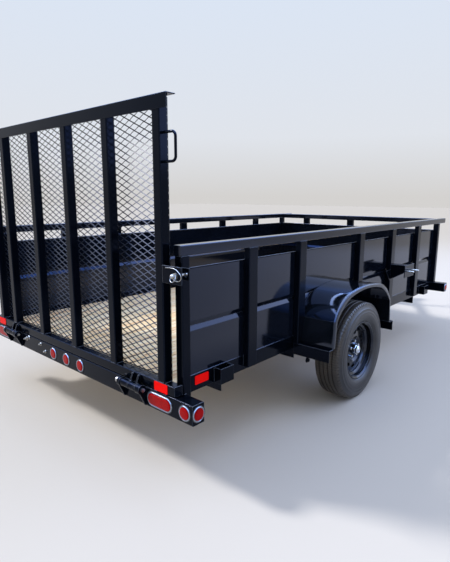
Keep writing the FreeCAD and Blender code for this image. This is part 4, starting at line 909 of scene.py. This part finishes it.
# each size as width across the flats, height, length of the thread's end
boltWork = {
    "plateSpots": ((0.329, 0.427), (0.270, 0.389)), "hingeSpots": ((0.531, 0.423), (0.497, 0.437)),
    "plate": (0.013, 0.008, 0.006), "hinge": (0.017, 0.009, 0.010), "jack": (0.017, 0.009),
    "jackCircle": 0.058, "spring": (0.024, 0.012), "eye": 0.015,
}


def makeBolts():
    bm = bmesh.new()
    low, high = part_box("bumper")
    for y, z in boltWork["plateSpots"]:
        addBolt(bm, (low.x, y, z), (-1, 0, 0), *boltWork["plate"])
    for y, z in boltWork["hingeSpots"]:
        addBolt(bm, (low.x, y, z), (-1, 0, 0), *boltWork["hinge"])
    # the jack's plate on the tongue
    plateLow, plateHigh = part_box("jack_plate")
    middle = (plateLow + plateHigh) / 2
    for turn in map(math.radians, (0, 120, 240)):
        spot = middle + Vector((math.cos(turn), math.sin(turn), 0)) * boltWork["jackCircle"]
        addBolt(bm, (spot.x, spot.y, plateHigh.z), (0, 0, 1), *boltWork["jack"])
    finishPiece(bm, "frameBolts", "chassis", zinc, sharp=25)
    # through the spring eyes and the hangers
    bm = bmesh.new()
    springLow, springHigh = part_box("leaf_springs")
    hangerLow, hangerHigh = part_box("spring_hangers")
    eye = boltWork["eye"]
    for sign in sides.values():
        for x in (springLow.x + eye, springHigh.x - eye):
            addBolt(bm, (x, sign * hangerHigh.y, springLow.z + eye), (0, sign, 0), *boltWork["spring"])
    finishPiece(bm, "springBolts", "chassis", springPaint, sharp=25)


makeBolts()

# Deck screws: two to a board over each crossmember

deckScrew = {
    "wide": 0.0115, "deep": 0.0012, "taper": 0.001, "rim": 0.003, "recess": 0.0006, "fromEdge": 0.035,
    "first": 0.313, "pitch": 0.709, "rows": 5, "legMiddle": 0.025, "boardWide": 0.184,
}


def makeDeckScrews():
    low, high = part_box("deck_boards")
    postLow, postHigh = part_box("side_posts_right")
    wide, radius, deep = deckScrew["boardWide"], deckScrew["wide"] / 2, deckScrew["deep"]
    pitch = (high.y - low.y - wide) / (boardCount - 1)
    bm = bmesh.new()
    for row in range(deckScrew["rows"]):
        x = postLow.x + deckScrew["first"] + row * deckScrew["pitch"] + deckScrew["legMiddle"]
        for board in range(boardCount):
            for inset in (deckScrew["fromEdge"], wide - deckScrew["fromEdge"]):
                place = Matrix.Translation((x, low.y + board * pitch + inset, high.z + deep / 2))
                head = bmesh.ops.create_cone(bm, cap_ends=True, segments=14, radius1=radius,
                                             radius2=radius - deckScrew["taper"], depth=deep,
                                             matrix=place)
                faces = {f for v in head["verts"] for f in v.link_faces}
                top = max(faces, key=lambda f: f.calc_center_median().z)
                bmesh.ops.inset_region(bm, faces=[top], thickness=deckScrew["rim"],
                                       depth=-deckScrew["recess"])
    finishPiece(bm, "deckScrews", "chassis", zinc, sharp=30)


makeDeckScrews()

# Latches: the wire bail, the ring and the ball end at each pin's head

latch = {"wire": 0.0032, "ring": 0.0165, "ringWire": 0.0032, "ringLean": 24, "ball": 0.0115}


def makeLatches():
    pinLow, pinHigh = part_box("latch_pins")
    z = (pinLow.z + pinHigh.z) / 2
    collar = (pinHigh.z - pinLow.z) / 2
    for side, sign in sides.items():
        y = sign * (pinHigh.y - collar)
        x = pinLow.x + 0.010
        # out from the pin along Y, up from it
        route = [
            (-0.052, 0.034), (-0.020, 0.038), (0.018, 0.036), (0.034, 0.022), (0.047, 0.008),
            (0.046, -0.012), (0.028, -0.022), (0.006, -0.018), (0.0, -0.006), (0.0, 0.0),
        ]
        points = [(x - 0.004 * math.sin(i), y + sign * out, z + up) for i, (out, up) in enumerate(route)]
        bentWire("latchBail" + side.capitalize(), points, latch["wire"], "gate", zinc)
        bm = bmesh.new()
        lean = Matrix.Rotation(math.radians(latch["ringLean"]), 4, "Y")
        place = Matrix.Translation((pinLow.x + 0.006, y, z - 0.010)) @ lean @ facing((-1, 0, 0))
        addRing(bm, place, roundBead(latch["ring"], latch["ringWire"] / 2), segments=36)
        bmesh.ops.create_uvsphere(bm, u_segments=20, v_segments=12, radius=latch["ball"],
                                  matrix=Matrix.Translation((pinLow.x + 0.004, y, z)))
        finishPiece(bm, "latchRing" + side.capitalize(), "gate", zinc)


makeLatches()

# Wheel trim: the valve, and the plug and ring on the hub's cap

# each profile as radius and height
wheelTrim = {
    "valveReach": 0.150, "valveTurn": 54, "valveOut": 0.030, "ring": 0.0170, "ringThick": 0.0012,
    "stem": [
        (0.0085, 0.0), (0.0085, 0.006), (0.0048, 0.010), (0.0044, 0.024), (0.0052, 0.025), (0.0052, 0.036),
        (0.0036, 0.038),
    ],
    "plug": [(0.0120, -0.001), (0.0118, 0.0022), (0.0100, 0.0034), (0.004, 0.0040)],
}


def makeWheelTrim(side, sign):
    low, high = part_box("rim_" + side)
    middle = (low + high) / 2
    hubLow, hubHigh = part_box("hub_" + side)
    outside = hubHigh.y if sign > 0 else hubLow.y
    bm = bmesh.new()
    turn = math.radians(wheelTrim["valveTurn"])
    reach = wheelTrim["valveReach"]
    spot = Vector((middle.x + reach * math.cos(turn), middle.y + sign * wheelTrim["valveOut"],
                   middle.z + reach * math.sin(turn)))
    place = Matrix.Translation(spot) @ facing((0, sign, 0))
    addRing(bm, place, wheelTrim["stem"], segments=18, cap=True)
    finishPiece(bm, "valve" + side.capitalize(), "wheel_" + side, grommetRubber)
    bm = bmesh.new()
    # a raised plug in the middle of the cap and a ring pressed round it
    place = Matrix.Translation((middle.x, outside, middle.z)) @ facing((0, sign, 0))
    addRing(bm, place, wheelTrim["plug"], segments=30, cap=True)
    addRing(bm, place, roundBead(wheelTrim["ring"], wheelTrim["ringThick"]), segments=36)
    finishPiece(bm, "capPlug" + side.capitalize(), "wheel_" + side, chrome)


for side, sign in sides.items():
    makeWheelTrim(side, sign)

# Jack: the crank's rubber grip with its finger ribs

crankGrip = {
    "radius": 0.0134, "ribs": 9, "rib": 0.0014, "long": 0.074, "end": 0.004, "endRadius": 0.0128,
    "inset": 0.013, "drop": 0.078,
}


def makeCrankGrip():
    low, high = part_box("jack_crank")
    spot = Vector((high.x - crankGrip["inset"], (low.y + high.y) / 2, high.z - crankGrip["drop"]))
    long, end, count = crankGrip["long"], crankGrip["end"], 2 * crankGrip["ribs"]
    profile = [(crankGrip["endRadius"], 0.0)]
    for k in range(count + 1):
        radius = crankGrip["radius"] + (crankGrip["rib"] if k % 2 else 0.0)
        profile.append((radius, end + (long - 2 * end) * k / count))
    profile.append((crankGrip["endRadius"], long))
    bm = bmesh.new()
    addRing(bm, Matrix.Translation(spot), profile, segments=28, cap=True)
    finishPiece(bm, "crankGrip", "chassis", grommetRubber, sharp=50)


makeCrankGrip()

# Floor

floor = {"half": 60.0, "colour": "#d6d6d8"}


def makeFloor():
    bm = bmesh.new()
    bmesh.ops.create_grid(bm, x_segments=1, y_segments=1, size=floor["half"])
    mesh = bpy.data.meshes.new("floor")
    bm.to_mesh(mesh)
    bm.free()
    material, tree, shader, place = newMaterial("paleFloor")
    shader.inputs["Base Color"].default_value = linear(floor["colour"])
    shader.inputs["Roughness"].default_value = 0.9
    shader.inputs["Specular IOR Level"].default_value = 0.0
    mesh.materials.append(material)
    ground = bpy.data.objects.new("floor", mesh)
    bpy.context.scene.collection.objects.link(ground)


makeFloor()
